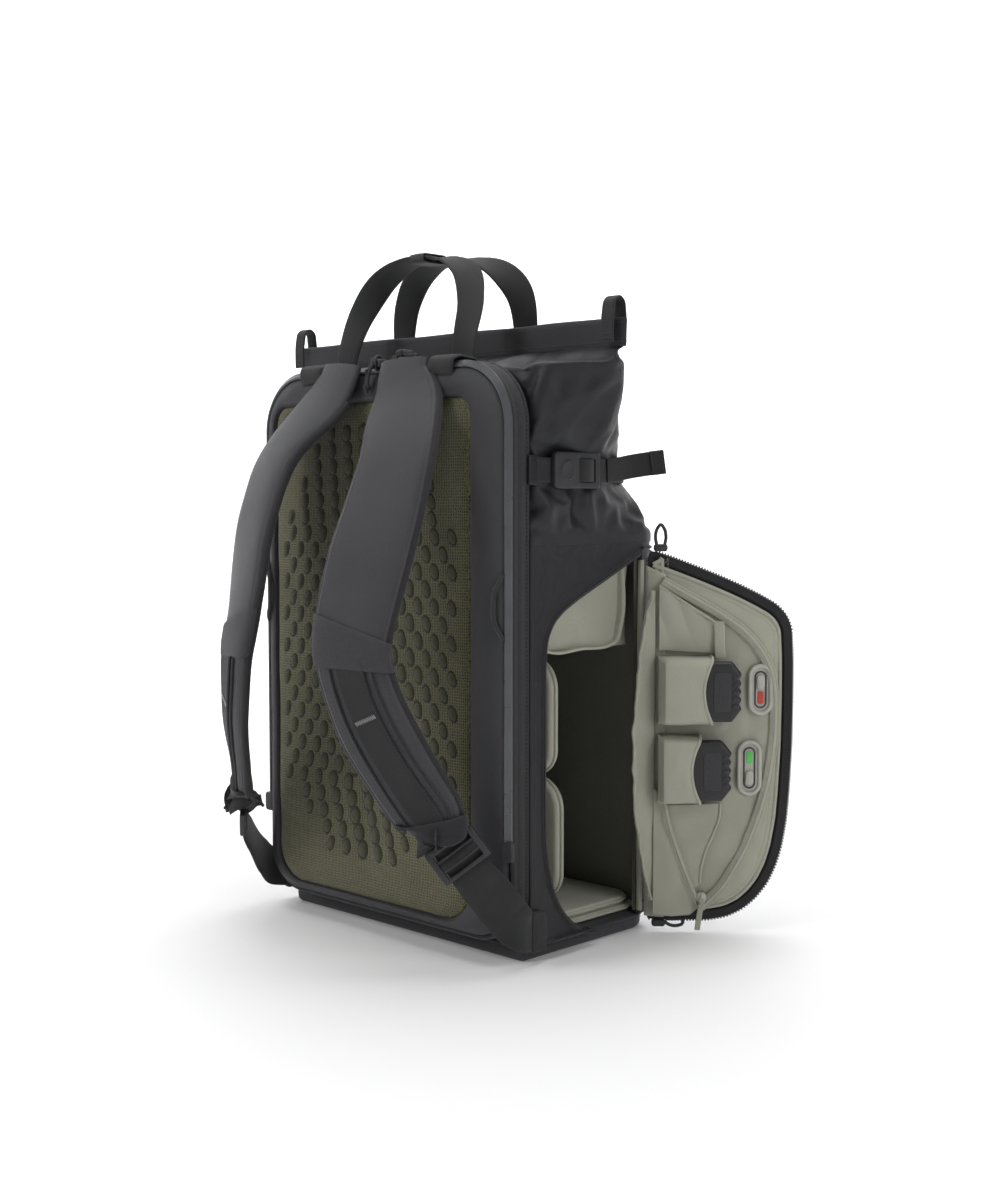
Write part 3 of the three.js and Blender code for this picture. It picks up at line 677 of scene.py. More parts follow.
def make_lights():
    world = bpy.data.worlds.new("studio")
    world.use_nodes = True
    tree = world.node_tree
    background = tree.nodes["Background"]
    background.inputs["Color"].default_value = (1, 1, 1, 1)
    where = tree.nodes.new("ShaderNodeTexCoord")
    split = tree.nodes.new("ShaderNodeSeparateXYZ")
    fade = tree.nodes.new("ShaderNodeMapRange")
    for key, value in (("From Min", 0.0), ("From Max", 0.22), ("To Min", 0.32), ("To Max", 0.12)):
        fade.inputs[key].default_value = value
    tree.links.new(where.outputs["Generated"], split.inputs[0])
    tree.links.new(split.outputs["Z"], fade.inputs["Value"])
    tree.links.new(fade.outputs[0], background.inputs["Strength"])
    bpy.context.scene.world = world
    middle = (0, 0, 0.28)
    area_light("key", (-0.9, -2.4, 1.9), middle, (1.2, 1.2), 36)
    area_light("side", (2.6, -0.3, 1.2), middle, (1.0, 1.8), 20)
    area_light("top", (0.1, 0.2, 2.6), middle, (2.0, 2.0), 40)


make_camera()
make_stage()
make_lights()
bpy.context.scene.view_settings.view_transform = "Standard"


# ---- back panel, mesh, zip and gusset ----

def matched_outline(x, z, radii, across=40, up=64, corner=12):
    """A rounded rectangle with fixed point counts on its sides and corners, so two of them match
    point for point. Radii: lower right, upper right, upper left, lower left."""
    centres = [(x[1] - radii[0], z[0] + radii[0]), (x[1] - radii[1], z[1] - radii[1]),
               (x[0] + radii[2], z[1] - radii[2]), (x[0] + radii[3], z[0] + radii[3])]
    points = []
    for k, ((cx, cz), r) in enumerate(zip(centres, radii)):
        for a in np.linspace(-90 + 90 * k, 90 * k, corner, endpoint=False):
            points.append((cx + r * math.cos(math.radians(a)), cz + r * math.sin(math.radians(a))))
        end = (cx + r * math.cos(math.radians(90 * k)), cz + r * math.sin(math.radians(90 * k)))
        (nx, nz), s = centres[(k + 1) % 4], radii[(k + 1) % 4]
        start = (nx + s * math.cos(math.radians(90 * k)), nz + s * math.sin(math.radians(90 * k)))
        for t in np.linspace(0, 1, across if k % 2 else up, endpoint=False):
            points.append((end[0] + (start[0] - end[0]) * t, end[1] + (start[1] - end[1]) * t))
    return np.array(points)


def outward_normals(outline):
    ahead = unit(np.roll(outline, -1, 0) - np.roll(outline, 1, 0))
    return np.stack([ahead[:, 1], -ahead[:, 0]], 1)


def around(name, outline, profile, closed=True, place=facing_panel):
    """A closed section carried round a flat outline. The profile gives (outwards, depth)."""
    normals = outward_normals(outline)
    rings = []
    for p, n in zip(outline, normals):
        rings.append([place(p[0] + n[0] * d, p[1] + n[1] * d, depth) for d, depth in profile])
    if closed:
        rings.append(rings[0])
        return skin(name, rings, caps=(False, False))
    return skin(name, rings)


PANEL_X = (PANEL_LOW[0], PANEL_HIGH[0])
PANEL_Z = (PANEL_LOW[2], PANEL_HIGH[2])
PANEL_RADII = (36, 48, 48, 36)
MESH_LOW, MESH_HIGH = box("mesh_pad")
MESH_RADII = (34, 16, 16, 34)
FACE_Y = PANEL_LOW[1]


def make_panel():
    """The padded board: a bound edge, a crowned border and a seam where the mesh begins."""
    outer = matched_outline(PANEL_X, PANEL_Z, PANEL_RADII)
    inner = matched_outline((MESH_LOW[0], MESH_HIGH[0]), (MESH_LOW[2], MESH_HIGH[2]), MESH_RADII)
    depth_back = PANEL_HIGH[1]
    rings = []
    for inset, depth in ((6, depth_back), (1.5, depth_back), (0, depth_back - 1.5), (0, FACE_Y + 5),
                         (0.5, FACE_Y + 1.6), (2.2, FACE_Y - 1.2)):
        ring = rings_inward(outer, [inset])[0]
        rings.append([(a, depth, b) for a, b in ring])
    start = rings_inward(outer, [4.5])[0]
    width = np.linalg.norm(inner - start, axis=1)
    for t in np.linspace(0, 1, 14):
        ring = start + (inner - start) * t
        crown = 4.2 * np.minimum(1, width / 34) * math.sin(math.pi * min(1, t * 0.96 + 0.02)) ** 0.6
        valley = 3.4 * max(0, (t - 0.86) / 0.14) ** 2
        rings.append([(a, FACE_Y - 1.8 - c + valley, b) for (a, b), c in zip(ring, crown)])
    rings.append([(a, FACE_Y + 6, b) for a, b in rings_inward(inner, [3])[0]])
    rings = np.array(rings)
    flat = rings.reshape(-1, 3)
    front = flat[:, 1] < FACE_Y - 1.5
    flat[front, 1] += 0.9 * wobble(flat[front], 60, 3.1) + 0.35 * wobble(flat[front], 17, 8.0)
    board = skin("back_panel_board", rings, caps=(True, True))
    finish_piece(board, "back_panel", "shell_fabric", PANEL_CLOTH, "back_panel")
    return outer, inner


def clamped(x, z, low, high, radii):
    """A point of a rectangle, pulled onto the rounded corner where it lies outside it."""
    corners = ((high[0], low[1], -1, 1), (high[0], high[1], -1, -1),
               (low[0], high[1], 1, -1), (low[0], low[1], 1, 1))
    for (cx, cz, sx, sz), r in zip(corners, radii):
        dx, dz = (x - (cx + sx * r)) * -sx, (z - (cz + sz * r)) * -sz
        if dx > 0 and dz > 0:
            reach = math.hypot(dx, dz)
            share = r / reach if reach > r else 1.0
            if max(dx, dz) > 0 and reach > 0:
                share = max(dx, dz) / reach
            return cx + sx * r - sx * dx * share, cz + sz * r - sz * dz * share
    return x, z


def edge_distance(x, z, low, high, radii):
    corners = ((high[0], low[1], -1, 1), (high[0], high[1], -1, -1),
               (low[0], high[1], 1, -1), (low[0], low[1], 1, 1))
    for (cx, cz, sx, sz), r in zip(corners, radii):
        dx, dz = (x - (cx + sx * r)) * -sx, (z - (cz + sz * r)) * -sz
        if dx > 0 and dz > 0:
            return r - math.hypot(dx, dz)
    return min(x - low[0], high[0] - x, z - low[1], high[1] - z)


def mesh_depth(x, z):
    """Height of the mesh face at a point: two soft pads either side of a shallow channel."""
    low, high = (MESH_LOW[0], MESH_LOW[2]), (MESH_HIGH[0], MESH_HIGH[2])
    d = max(0.0, edge_distance(x, z, low, high, MESH_RADII))
    rise = 4.6 * (1 - math.exp(-d / 7))
    middle = (low[0] + high[0]) / 2
    channel = 2.4 * math.exp(-((x - middle) / 16) ** 2) * min(1, d / 30)
    ripple = 0.45 * math.sin((z + 7 * math.sin(x / 19)) / 2.1) * min(1, d / 12)
    soft = 1.0 * noise.noise(Vector((x / 45, 0.4, z / 45)))
    return FACE_Y + 1.4 - rise + channel - 0.35 * ripple - soft


def make_mesh():
    low, high = (MESH_LOW[0], MESH_LOW[2]), (MESH_HIGH[0], MESH_HIGH[2])
    xs = np.linspace(low[0], high[0], 96)
    zs = np.linspace(low[1], high[1], 260)
    rows = []
    for z in zs:
        row = []
        for x in xs:
            a, b = clamped(x, z, low, high, MESH_RADII)
            row.append((a, mesh_depth(a, b), b))
        rows.append(row)
    face = skin("mesh_face", rows, wrap=False)
    modifier = face.modifiers.new("thickness", "SOLIDIFY")
    modifier.thickness, modifier.offset = 3 * MM, -1
    apply_modifiers(face)
    finish_piece(face, "back_panel", "back_mesh", SPACER, "mesh_pad")

    points, faces, moats, moat_faces = [], [], [], []
    rng = random.Random(11)
    middle = (low[0] + high[0]) / 2
    pitch_x, pitch_z = 20.5, 14.5
    row = 0
    z = low[1] + 42
    while z < high[1] - 26:
        taper = min(1.0, 0.45 + (z - low[1] - 42) / 110, 0.5 + (high[1] - 26 - z) / 170)
        half = (high[0] - middle - 17) * taper
        x = middle - half + (row % 2) * pitch_x / 2
        while x < middle + half:
            centre = 1 - abs(x - middle) / (half + 1)
            a = 3.3 + 1.3 * centre + 0.3 * rng.random()
            b = 4.9 + 1.6 * centre + 0.3 * rng.random()
            lean = 0.25 * (x - middle) / half
            for shape, store, store_faces in ((((1.05, 0.5), (0.98, -0.6), (0.82, -1.7), (0.5, -2.3),
                                                (0.2, -2.4)), points, faces),
                                              (((1.5, 0.25), (1.36, -0.4), (1.04, -0.4), (0.96, 0.4)),
                                               moats, moat_faces)):
                base = len(store)
                for grow, lift in shape:
                    for angle in np.linspace(0, 2 * math.pi, 14, endpoint=False):
                        u, w = a * grow * math.cos(angle), b * grow * math.sin(angle)
                        px, pz = x + u - lean * w, z + w
                        store.append((px, mesh_depth(px, pz) + lift, pz))
                store_faces.extend(grid_faces(len(shape), 14, True, base))
                if store is points:
                    store_faces.append(tuple(base + (len(shape) - 1) * 14 + k for k in range(14)))
            x += pitch_x
        z += pitch_z
        row += 1
    pods = make_object("mesh_pods", points, faces)
    finish_piece(pods, "back_panel", "back_mesh", POD_CLOTH)
    rims = make_object("mesh_pod_rims", moats, moat_faces)
    finish_piece(rims, "back_panel", "back_mesh", POD_RIM)


def make_gusset():
    """The twill band round the panel, bound on both edges, with the coated zip on its front edge."""
    low, high = GUSSET_LOW, GUSSET_HIGH
    outline = even_outline(matched_outline((low[0] + 3.5, high[0] - 3.5), (low[2] + 3.5, high[2] - 3.5),
                                           (36.5, 48.5, 48.5, 36.5)), 4)
    y0, y1 = low[1], high[1]
    profile = [(0, y0), (2.2, y0 - 0.3), (3.6, y0 + 1.2), (3.8, y0 + 3.2), (3.1, y0 + 4.2), (3.6, y0 + 6.5),
               (3.9, (y0 + y1) / 2), (3.6, y1 - 6.0), (3.1, y1 - 3.8), (3.9, y1 - 2.8), (4.0, y1 - 1),
               (2.5, y1), (0, y1), (-0.2, (y0 + y1) / 2)]
    band = around("gusset_twill", outline, profile)
    points = np.array([v.co for v in band.data.vertices])
    finish_piece(band, "shell", "shell_fabric", GUSSET_CLOTH, "gusset_band")
    normals = outward_normals(outline)
    for tag, y in (("front", y0 + 3.7), ("rear", y1 - 3.4)):
        line = [(p[0] + n[0] * 3.6, y, p[1] + n[1] * 3.6) for p, n in zip(outline, normals)]
        outward = [(n[0], 0, n[1]) for n in normals]
        outward.append(outward[0])
        thread = stitches(f"gusset_stitches_{tag}", line, outward, closed=True)
        finish_piece(thread, "shell", "shell_fabric", THREAD_DARK)

    zip_low, zip_high = box("panel_zip")
    ring = matched_outline((zip_low[0] + 2, zip_high[0] - 2), (low[2] + 2, zip_high[2] - 2),
                           (38, 50, 50, 38), across=90, up=130, corner=26)
    below = ring[:, 1] < zip_low[2]
    first = int(np.argmax(~below & np.roll(below, 1)))
    path = np.roll(ring, -first, 0)[: int((~below).sum())]
    normals = outward_normals(ring)
    normals = np.roll(normals, -first, 0)[: len(path)]
    line = np.array([(p[0], zip_low[1] + 0.6, p[1]) for p in path])
    across = np.array([(n[0] * 0.75, 0.66, n[1] * 0.75) for n in normals])

    def lips(half):
        a = np.array([-3.5, -3.2, -2.4, -1.5, -0.7, -0.25, 0, 0.25, 0.7, 1.5, 2.4, 3.2, 3.5])
        h = np.array([0.1, 1.1, 1.8, 2.1, 1.7, 1.1, 0.3, 1.1, 1.7, 2.1, 1.8, 1.1, 0.1])
        return np.vstack([np.stack([a, h], 1), [(2.6, -1.2), (-2.6, -1.2)]])

    tape = ribbon("panel_zip_tape", line, across, np.full(len(line), 7.0), lips)
    finish_piece(tape, "shell", "coated_zip", COATED, "panel_zip")
    for side, name in ((0, "left"), (-1, "right")):
        at = line[side]
        end = slab(f"panel_zip_stop_{name}", rounded_outline((at[0] - 6, at[0] + 6), (at[2] - 13, at[2] + 4),
                                                          (3, 3, 3, 3), 1.5),
                   facing_panel, at[1] - 2.6, at[1] + 2, 1.0, 0.3)
        finish_piece(end, "shell", "shell_fabric", PANEL_CLOTH)


POD_RIM = woven("pod_rim", (0.022, 0.021, 0.013), pitch=0.9, depth=0.2)
make_panel()
make_mesh()
make_gusset()


# ---- shoulder straps ----

def strap_line(node, top, bottom, count=90):
    """Centre line, level direction across and width down a strap, from its CAD node."""
    levels = np.linspace(top, bottom, 26)
    found = strap_sections(node, levels)
    line = smooth_line([m for m, _, _ in found], count)
    at = np.linspace(0, 1, count)
    old = np.linspace(0, 1, len(found))
    across = np.stack([np.interp(at, old, [a[k] for _, a, _ in found]) for k in range(3)], 1)
    widths = np.interp(at, old, [w for _, _, w in found])
    return line, across, widths


def on_strap(line, across, a, lift):
    """Points beside the centre line: a across it and lift above its face."""
    _, side, outward = sweep_frames(line, across)
    if outward[len(line) // 2][1] > 0:
        outward = -outward
    a = np.broadcast_to(a, (len(line),))[:, None]
    lift = np.broadcast_to(lift, (len(line),))[:, None]
    return line + side * a + outward * lift, outward


def face_lift(a, half, thickness, crown, power=3.2):
    """Height of the crowned face at a distance across."""
    share = np.clip(np.abs(a / half), 0, 1)
    return thickness / 2 * (1 - share ** power) ** (1 / power) + crown * (1 - share ** 2)


STRAP_THICK = 9.5
STRAP_CROWN = 2.2


def make_strap(side, mirror):
    def out(obj, body, slot, material, *nodes):
        if mirror:
            name = obj.name.replace("right", "left")
            other = mirrored(obj, name)
            finish_piece(other, body.replace("right", "left"), slot, material,
                         *[n.replace("right", "left") for n in nodes])
        return finish_piece(obj, body, slot, material, *nodes)

    low, high = box("shoulder_strap_right")
    line, across, widths = strap_line("shoulder_strap_right", high[2] - 9, low[2] + 4)
    top = line[0] + np.array([-1.2, 3.4, 10.5])
    kept = [*range(0, 87, 3), 89]
    line = smooth_line(np.vstack([[top], line[kept]]), 90)
    across = np.vstack([across[:1], across[kept]])
    across = np.stack([spread(across[:, k], 90) for k in range(3)], 1)
    widths = spread(np.concatenate([widths[:1] * 0.97, widths[kept]]), 90) - 3
    pad = ribbon("strap_pad_right", line, across, widths, crowned_section(STRAP_THICK, STRAP_CROWN), 1)
    points = np.array([v.co for v in pad.data.vertices]) / MM
    shift = 0.8 * wobble(points, 48, 2.0) + 0.3 * wobble(points, 15, 5.0)
    for v, s in zip(pad.data.vertices, shift):
        v.co.y += s * MM
    out(pad, "back_panel", "strap_fabric", STRAP_CLOTH, "shoulder_strap_right")

    for tag, sign in (("inner", -1), ("outer", 1)):
        edge, _ = on_strap(line, across, sign * (widths / 2 - 1.0), -2.6)
        rolled = tube(f"strap_binding_{tag}_right", edge[5:], 3.9, 12)
        out(rolled, "back_panel", "strap_fabric", BINDING)
        seam, outward = on_strap(line, across, sign * (widths / 2 - 3.4),
                                 face_lift(widths / 2 - 3.4, widths / 2, STRAP_THICK, STRAP_CROWN) + 0.2)
        thread = stitches(f"strap_stitches_{tag}_right", seam, outward, 3.2, 2.2, 0.28)
        out(thread, "back_panel", "strap_fabric", THREAD_DARK)

    at = line[:, 2]
    band_low, band_high = box("strap_band_right")
    part = (at < band_low[2] + 6) & (at > low[2] + 1)
    lower, lower_across, lower_widths = line[part], across[part], widths[part]
    rail_half = 12.5
    centre, outward = on_strap(lower, lower_across, 0, STRAP_THICK / 2 + STRAP_CROWN + 0.6)
    rail = ribbon("strap_rail_right", centre, lower_across, np.full(len(centre), 2 * rail_half),
                  flat_section(2.4, 0.9), 1)
    out(rail, "back_panel", "webbing", WEBBING)
    for tag, a in (("inner", -rail_half + 1.6), ("outer", rail_half - 1.6)):
        seam, up = on_strap(lower, lower_across, a, STRAP_THICK / 2 + STRAP_CROWN + 2.0)
        out(stitches(f"rail_stitches_{tag}_right", seam, up, 3.0, 2.1, 0.28),
            "back_panel", "webbing", THREAD_DARK)
        edge, _ = on_strap(lower, lower_across, a * 1.62,
                           face_lift(np.full(len(lower), abs(a) * 1.62), lower_widths / 2, STRAP_THICK,
                                     STRAP_CROWN) + 0.5)
        out(tube(f"strap_cording_{tag}_right", edge, 1.5, 8), "back_panel", "strap_fabric", BINDING)

    index = int(np.argmin(np.abs(lower[:, 2] - 207)))
    near = lower[index - 3:index + 4]
    rows = []
    for k in range(26):
        a = -9 + 18 * k / 25
        shift = 1.6 if k % 2 else -1.6
        p, up = on_strap(near, lower_across[index - 3:index + 4], a, STRAP_THICK / 2 + STRAP_CROWN + 2.1)
        direction = unit(near[4] - near[2])
        rows.append(p[3] + direction * shift)
    out(tube("strap_bartack_right", rows, 0.42, 6), "back_panel", "webbing", THREAD_LIGHT)

    def wrap(name, z_high, z_low, slant, grow, material, nodes=()):
        """A band right round the strap, a little proud of it."""
        fine, fine_widths = smooth_line(line, 900), spread(widths, 900)
        fine_across = np.stack([spread(across[:, k], 900) for k in range(3)], 1)
        inside = (fine[:, 2] < z_high) & (fine[:, 2] > z_low)
        w, s = fine_widths[inside], fine_across[inside]
        dense = smooth_line(fine[inside], 14)
        w, s = spread(w, 14), np.stack([spread(s[:, k], 14) for k in range(3)], 1)
        along, side_way, outward = sweep_frames(dense, s)
        flip = -1 if outward[7][1] > 0 else 1
        shape_of = crowned_section(STRAP_THICK + 2 * grow, STRAP_CROWN + 0.4, 44)
        rings = []
        for k in range(len(dense)):
            edge = grow * (0.75 + 0.25 * min(1, k, len(dense) - 1 - k))
            shape = shape_of(w[k] / 2 + edge + 1.5)
            rings.append([dense[k] + a * side_way[k] + b * outward[k] * flip + along[k] * slant * a
                          for a, b in shape])
        obj = skin(name, rings)
        return out(obj, "back_panel", "webbing", material, *nodes)

    wrap("strap_band_cloth_right", band_high[2] - 2, band_low[2] - 1, 0.28, 1.7, BAND_CLOTH,
         ("strap_band_right",))
    wrap("strap_keeper_right", low[2] + 26, low[2] + 12, 0.0, 4.0, BINDING)
    wrap("strap_end_cap_right", low[2] + 9, low[2] + 1, 0.0, 1.2, BINDING)
    return line, across, widths


BAND_CLOTH = woven("band_cloth", (0.04, 0.04, 0.044), pitch=0.9, depth=0.15)
strap_path = make_strap("right", True)


def make_lock():
    """Ladder lock: a moulded frame with three slots and ribbed grip, on the strap's own slant."""
    centre = np.array([139.0, -141.0, 99.0])
    across = unit(np.array([0.6054, 0.5116, 0.6096]))
    along = unit(np.array([0.488, 0.366, -0.793]))
    across = unit(across - along * (across @ along))
    normal = np.cross(across, along)
    if normal[1] > 0:
        normal = -normal

    def place(a, b, depth):
        return centre + across * a + along * b + normal * depth

    def piece(name, outline, low, high, rounding=0.8, bulge=0.2):
        return slab(name, outline, place, high, low, rounding, bulge)

    parts = []
    for k, (b, w) in enumerate(((-12.2, 3.6), (-4.3, 2.8), (4.3, 2.8), (12.4, 3.4))):
        parts.append(piece(f"lock_bar_{k}",
                           rounded_outline((-22.4, 22.4), (b - w / 2, b + w / 2), (1.2,) * 4, 0.8),
                           -1.6, 1.8 + (0.8 if k in (0, 3) else 0), 0.7))
    for sign in (-1, 1):
        x = sorted((sign * 17.2, sign * 22.4))
        parts.append(piece(f"lock_side_{sign}", rounded_outline(x, (-14, 14), (2.2,) * 4, 0.9), -2.4, 2.8,
                           1.0))
    for k in range(5):
        x = -10 + 5 * k
        parts.append(piece(f"lock_rib_{k}", rounded_outline((x - 1, x + 1), (-13.6, -10.8), (0.6,) * 4, 0.5),
                           2.2, 3.2, 0.4, 0.1))
    lock = joined("ladder_lock_frame_right", parts)
    other = mirrored(lock, "ladder_lock_frame_left")
    finish_piece(lock, "ladder_lock_right", "buckle_plastic", PLASTIC, "ladder_lock_right")
    finish_piece(other, "ladder_lock_left", "buckle_plastic", PLASTIC, "ladder_lock_left")

    line, across_strap, _ = strap_path
    end = line[-1]
    route = [end + unit(end - line[-6]) * 1.0, centre - along * 16 + normal * 0.5,
             centre - along * 8 - normal * 2.6,
             centre + normal * 2.4, centre + along * 8 - normal * 2.6, centre + along * 18 + normal * 0.2]
    threaded = smooth_line(route, 60)
    sides = np.tile(across, (60, 1))
    sides[:20] = unit(across_strap[-1] * np.linspace(1, 0, 20)[:, None] +
                      across * np.linspace(0, 1, 20)[:, None])
    loop = ribbon("lock_webbing_right", threaded, sides, np.full(60, 33.5), flat_section(1.7, 0.7), 1)
    other = mirrored(loop, "lock_webbing_left")
    finish_piece(loop, "back_panel", "webbing", WEBBING)
    finish_piece(other, "back_panel", "webbing", WEBBING)
    return centre, across, along, normal


lock_frame = make_lock()


def make_lower_webbing():
    """The wide webbing from the ladder lock to the body's lower corner."""
    centre, across, along, normal = lock_frame
    low, high = box("webbing_anchor_right")
    anchor = np.array([high[0] + 0.8, (low[1] + high[1]) / 2, (low[2] + high[2]) / 2])
    route = [centre + along * 14, (147, -135, 86), (154, -122, 68), (159, -105, 46), (160.5, -88, 31),
             anchor + (0, -4, 0),
             anchor + (0.4, 10, 0)]
    line = smooth_line(route, 80)
    end_side = np.array([0.0, -0.35, 0.94])
    sides = np.array([unit(across * (1 - t) ** 1.5 + end_side * t) for t in np.linspace(0, 1, 80)])
    strap = ribbon("lower_webbing_band_right", line, sides, spread([34, 38, 38, 36, 30, 27], 80),
                   flat_section(2.2, 0.8), 1)
    other = mirrored(strap, "lower_webbing_band_left")
    for obj, name, sign in ((strap, "right", 1), (other, "left", -1)):
        finish_piece(obj, None, "webbing", WEBBING, f"lower_webbing_{name}", f"webbing_anchor_{name}")
        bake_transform(obj)
    patch = slab("webbing_patch_right",
                 rounded_outline((low[1] - 3, high[1] + 2), (low[2] - 3, high[2] + 4), (2,) * 4, 1.5),
                 facing_side, high[0] + 3.2, low[0] - 0.4, 0.8, 0.4)
    other = mirrored(patch, "webbing_patch_left")
    for obj in (patch, other):
        finish_piece(obj, "shell", "webbing", BINDING)


make_lower_webbing()


# ---- handles, bands, zip sliders and their cords ----

def strap_loop(name, half, tilts, width, thickness, sag=1.6, count=150):
    """A webbing handle from one foot over to the other. half lists one side from foot to crown;
    tilts turn the webbing from facing the wearer at its foot to lying flat on top."""
    half = np.array(half, float)
    other = half[-2::-1] * (-1, 1, 1)
    line = smooth_line(np.vstack([half, other]), count)
    turn = np.interp(np.linspace(0, 1, count), np.linspace(0, 1, 2 * len(half) - 1),
                     list(tilts) + [math.pi - t for t in tilts[-2::-1]])
    along = unit(np.gradient(line, axis=0))
    depth = np.array([0.0, 1.0, 0.0])
    sides = []
    for t, a in zip(turn, along):
        level = unit(np.cross(depth, a))
        sides.append(level * math.cos(t) + depth * math.sin(t))
    flat = flat_section(thickness, 0.9)

    def shape(h):
        s = flat(h)
        s[:, 1] -= sag * (s[:, 0] / h) ** 2
        return s

    return ribbon(name, line, np.array(sides), np.full(count, width), shape), line, np.array(sides)


def edge_stitching(name, line, sides, half, lift, part):
    """Two stitched rows near the edges of webbing, over part of its length."""
    start, end = part
    rows = []
    _, across, outward = sweep_frames(line, sides)
    for sign in (-1, 1):
        for face in (-1, 1):
            path = (line + across * sign * half + outward * face * lift)[start:end]
            rows.append(stitches(f"{name}_{sign}_{face}", path, (outward * face)[start:end], 3.2, 2.1, 0.26))
    return joined(name, rows)


def make_handles():
    width = 24.5
    rear = [(76, -72, 492), (74.5, -68, 512), (69, -56, 545), (53, -46, 570), (29, -41.5, 583),
            (0, -40, 586.6)]
    front = [(77, 2, 506), (78, 1.6, 528), (71, 0, 556), (54, -4, 574), (32, -7, 584.5), (0, -9.5, 588.6)]
    tilts = (0, 0.22, 0.5, 1.0, 1.4, math.pi / 2)
    for name, half in (("rear", rear), ("front", front)):
        loop, line, sides = strap_loop(f"handle_{name}_webbing", half, tilts, width, 2.3)
        finish_piece(loop, f"handle_{name}", "webbing", WEBBING, f"handle_{name}")
        for tag, part in (("right", (3, 24)), ("left", (126, 147))):
            thread = edge_stitching(f"handle_{name}_stitches_{tag}", line, sides, width / 2 - 3, 1.3, part)
            finish_piece(thread, f"handle_{name}", "webbing", THREAD_DARK)

    low, high = box("handle_wrap")
    top = 588.2
    ring = soft_outline([(low[1] + 2.6, top - 3), (low[1] + 4, top - 5), (high[1] - 4, top - 5),
                         (high[1] - 2.6, top - 3), (high[1] - 3.4, top + 1.6), (low[1] + 3.4, top + 1.6)],
                         1.2, 3)
    profile = [(0, low[0]), (0.8, low[0] + 0.4), (1.1, 0), (0.8, high[0] - 0.4), (0, high[0]), (-0.6, 0)]
    wrap = around("handle_wrap_cloth", ring, profile, place=facing_side)
    finish_piece(wrap, "handle_rear", "nylon", BINDING, "handle_wrap")
    snap = []
    for k, (r, h) in enumerate(((5.2, 0.8), (3.4, 1.5))):
        circle = [(r * math.cos(a), (low[1] + high[1]) / 2 + 4 +
                   r * math.sin(a)) for a in np.linspace(0, 2 * math.pi, 28)[:-1]]
        snap.append(slab(f"snap_{k}", np.array(circle), facing_up, top + 2.2 + h, top + 1.4, 0.5, 0.2))
    finish_piece(joined("handle_snap", snap), "handle_rear", "buckle_plastic", PLASTIC)

    for tag, sign in (("right", 1), ("left", -1)):
        low, high = box(f"handle_band_{tag}")
        x = (low[0] + high[0]) / 2
        path = [(x, low[1] - 1.8, low[2] - 1), (x, low[1] - 3.2, low[2] + 5),
                (x, low[1] - 1.4, high[2] - 0.2),
                (x, low[1] + 5, high[2] + 2.4), (x, low[1] + 14, high[2] + 1.6),
                (x, high[1] - 3, high[2] - 0.6),
                (x, high[1] - 1, high[2] - 3)]
        line = smooth_line(path, 50)
        lean = np.linspace(-2.5, 2.5, 50)
        line[:, 0] += lean * sign

        def flared(h):
            s = flat_section(2.0, 0.8)(h)
            s[:, 1] += 1.2 * np.abs(s[:, 0] / h) ** 3 * np.sign(s[:, 0]).clip(0)
            return s

        sides = np.tile([1.0, 0, 0], (50, 1))
        band = ribbon(f"handle_band_cloth_{tag}", line, sides, np.full(50, high[0] - low[0]), flared)
        finish_piece(band, "back_panel", "webbing", WEBBING, f"handle_band_{tag}")
        half = (high[0] - low[0]) / 2 - 2.4
        rows = []
        for edge in (-1, 1):
            path = line[4:22] + (edge * half, -1.6, 0)
            rows.append(stitches(f"band_row_{tag}_{edge}", path, (0, -1, 0.2), 2.8, 2.0, 0.26))
        finish_piece(joined(f"handle_band_stitches_{tag}", rows), "back_panel", "webbing", THREAD_DARK)

    for tag, sign in (("right", 1), ("left", -1)):
        low, high = box(f"finger_loop_{tag}")
        middle = (low[2] + high[2]) / 2
        path = [(sign * 149.5, FACE_Y - 1.2, high[2] + 1), (sign * 148, FACE_Y - 3.4, high[2] - 4),
                (sign * 144, FACE_Y - 5.2, middle + 13),
                (sign * 143, FACE_Y - 5.8, middle), (sign * 144, FACE_Y - 5.2, middle - 13),
                (sign * 148, FACE_Y - 3.4, low[2] + 4),
                (sign * 149.5, FACE_Y - 1.2, low[2] - 1)]
        cord = tube(f"finger_loop_cord_{tag}", smooth_line(path, 60), 2.1, 10)
        finish_piece(cord, "back_panel", "webbing", CORD_BRAID, f"finger_loop_{tag}")


def knot(centre, size, turn=0.0):
    """A tight overhand knot: a cord wound round itself."""
    points = []
    for t in np.linspace(0, 2 * math.pi, 46):
        x = (math.sin(t) + 2 * math.sin(2 * t)) / 3
        y = (math.cos(t) - 2 * math.cos(2 * t)) / 3
        z = -math.sin(3 * t) / 2.2
        c, s = math.cos(turn), math.sin(turn)
        points.append(np.array(centre) + size * np.array([x * c - z * s, y, x * s + z * c]))
    return points


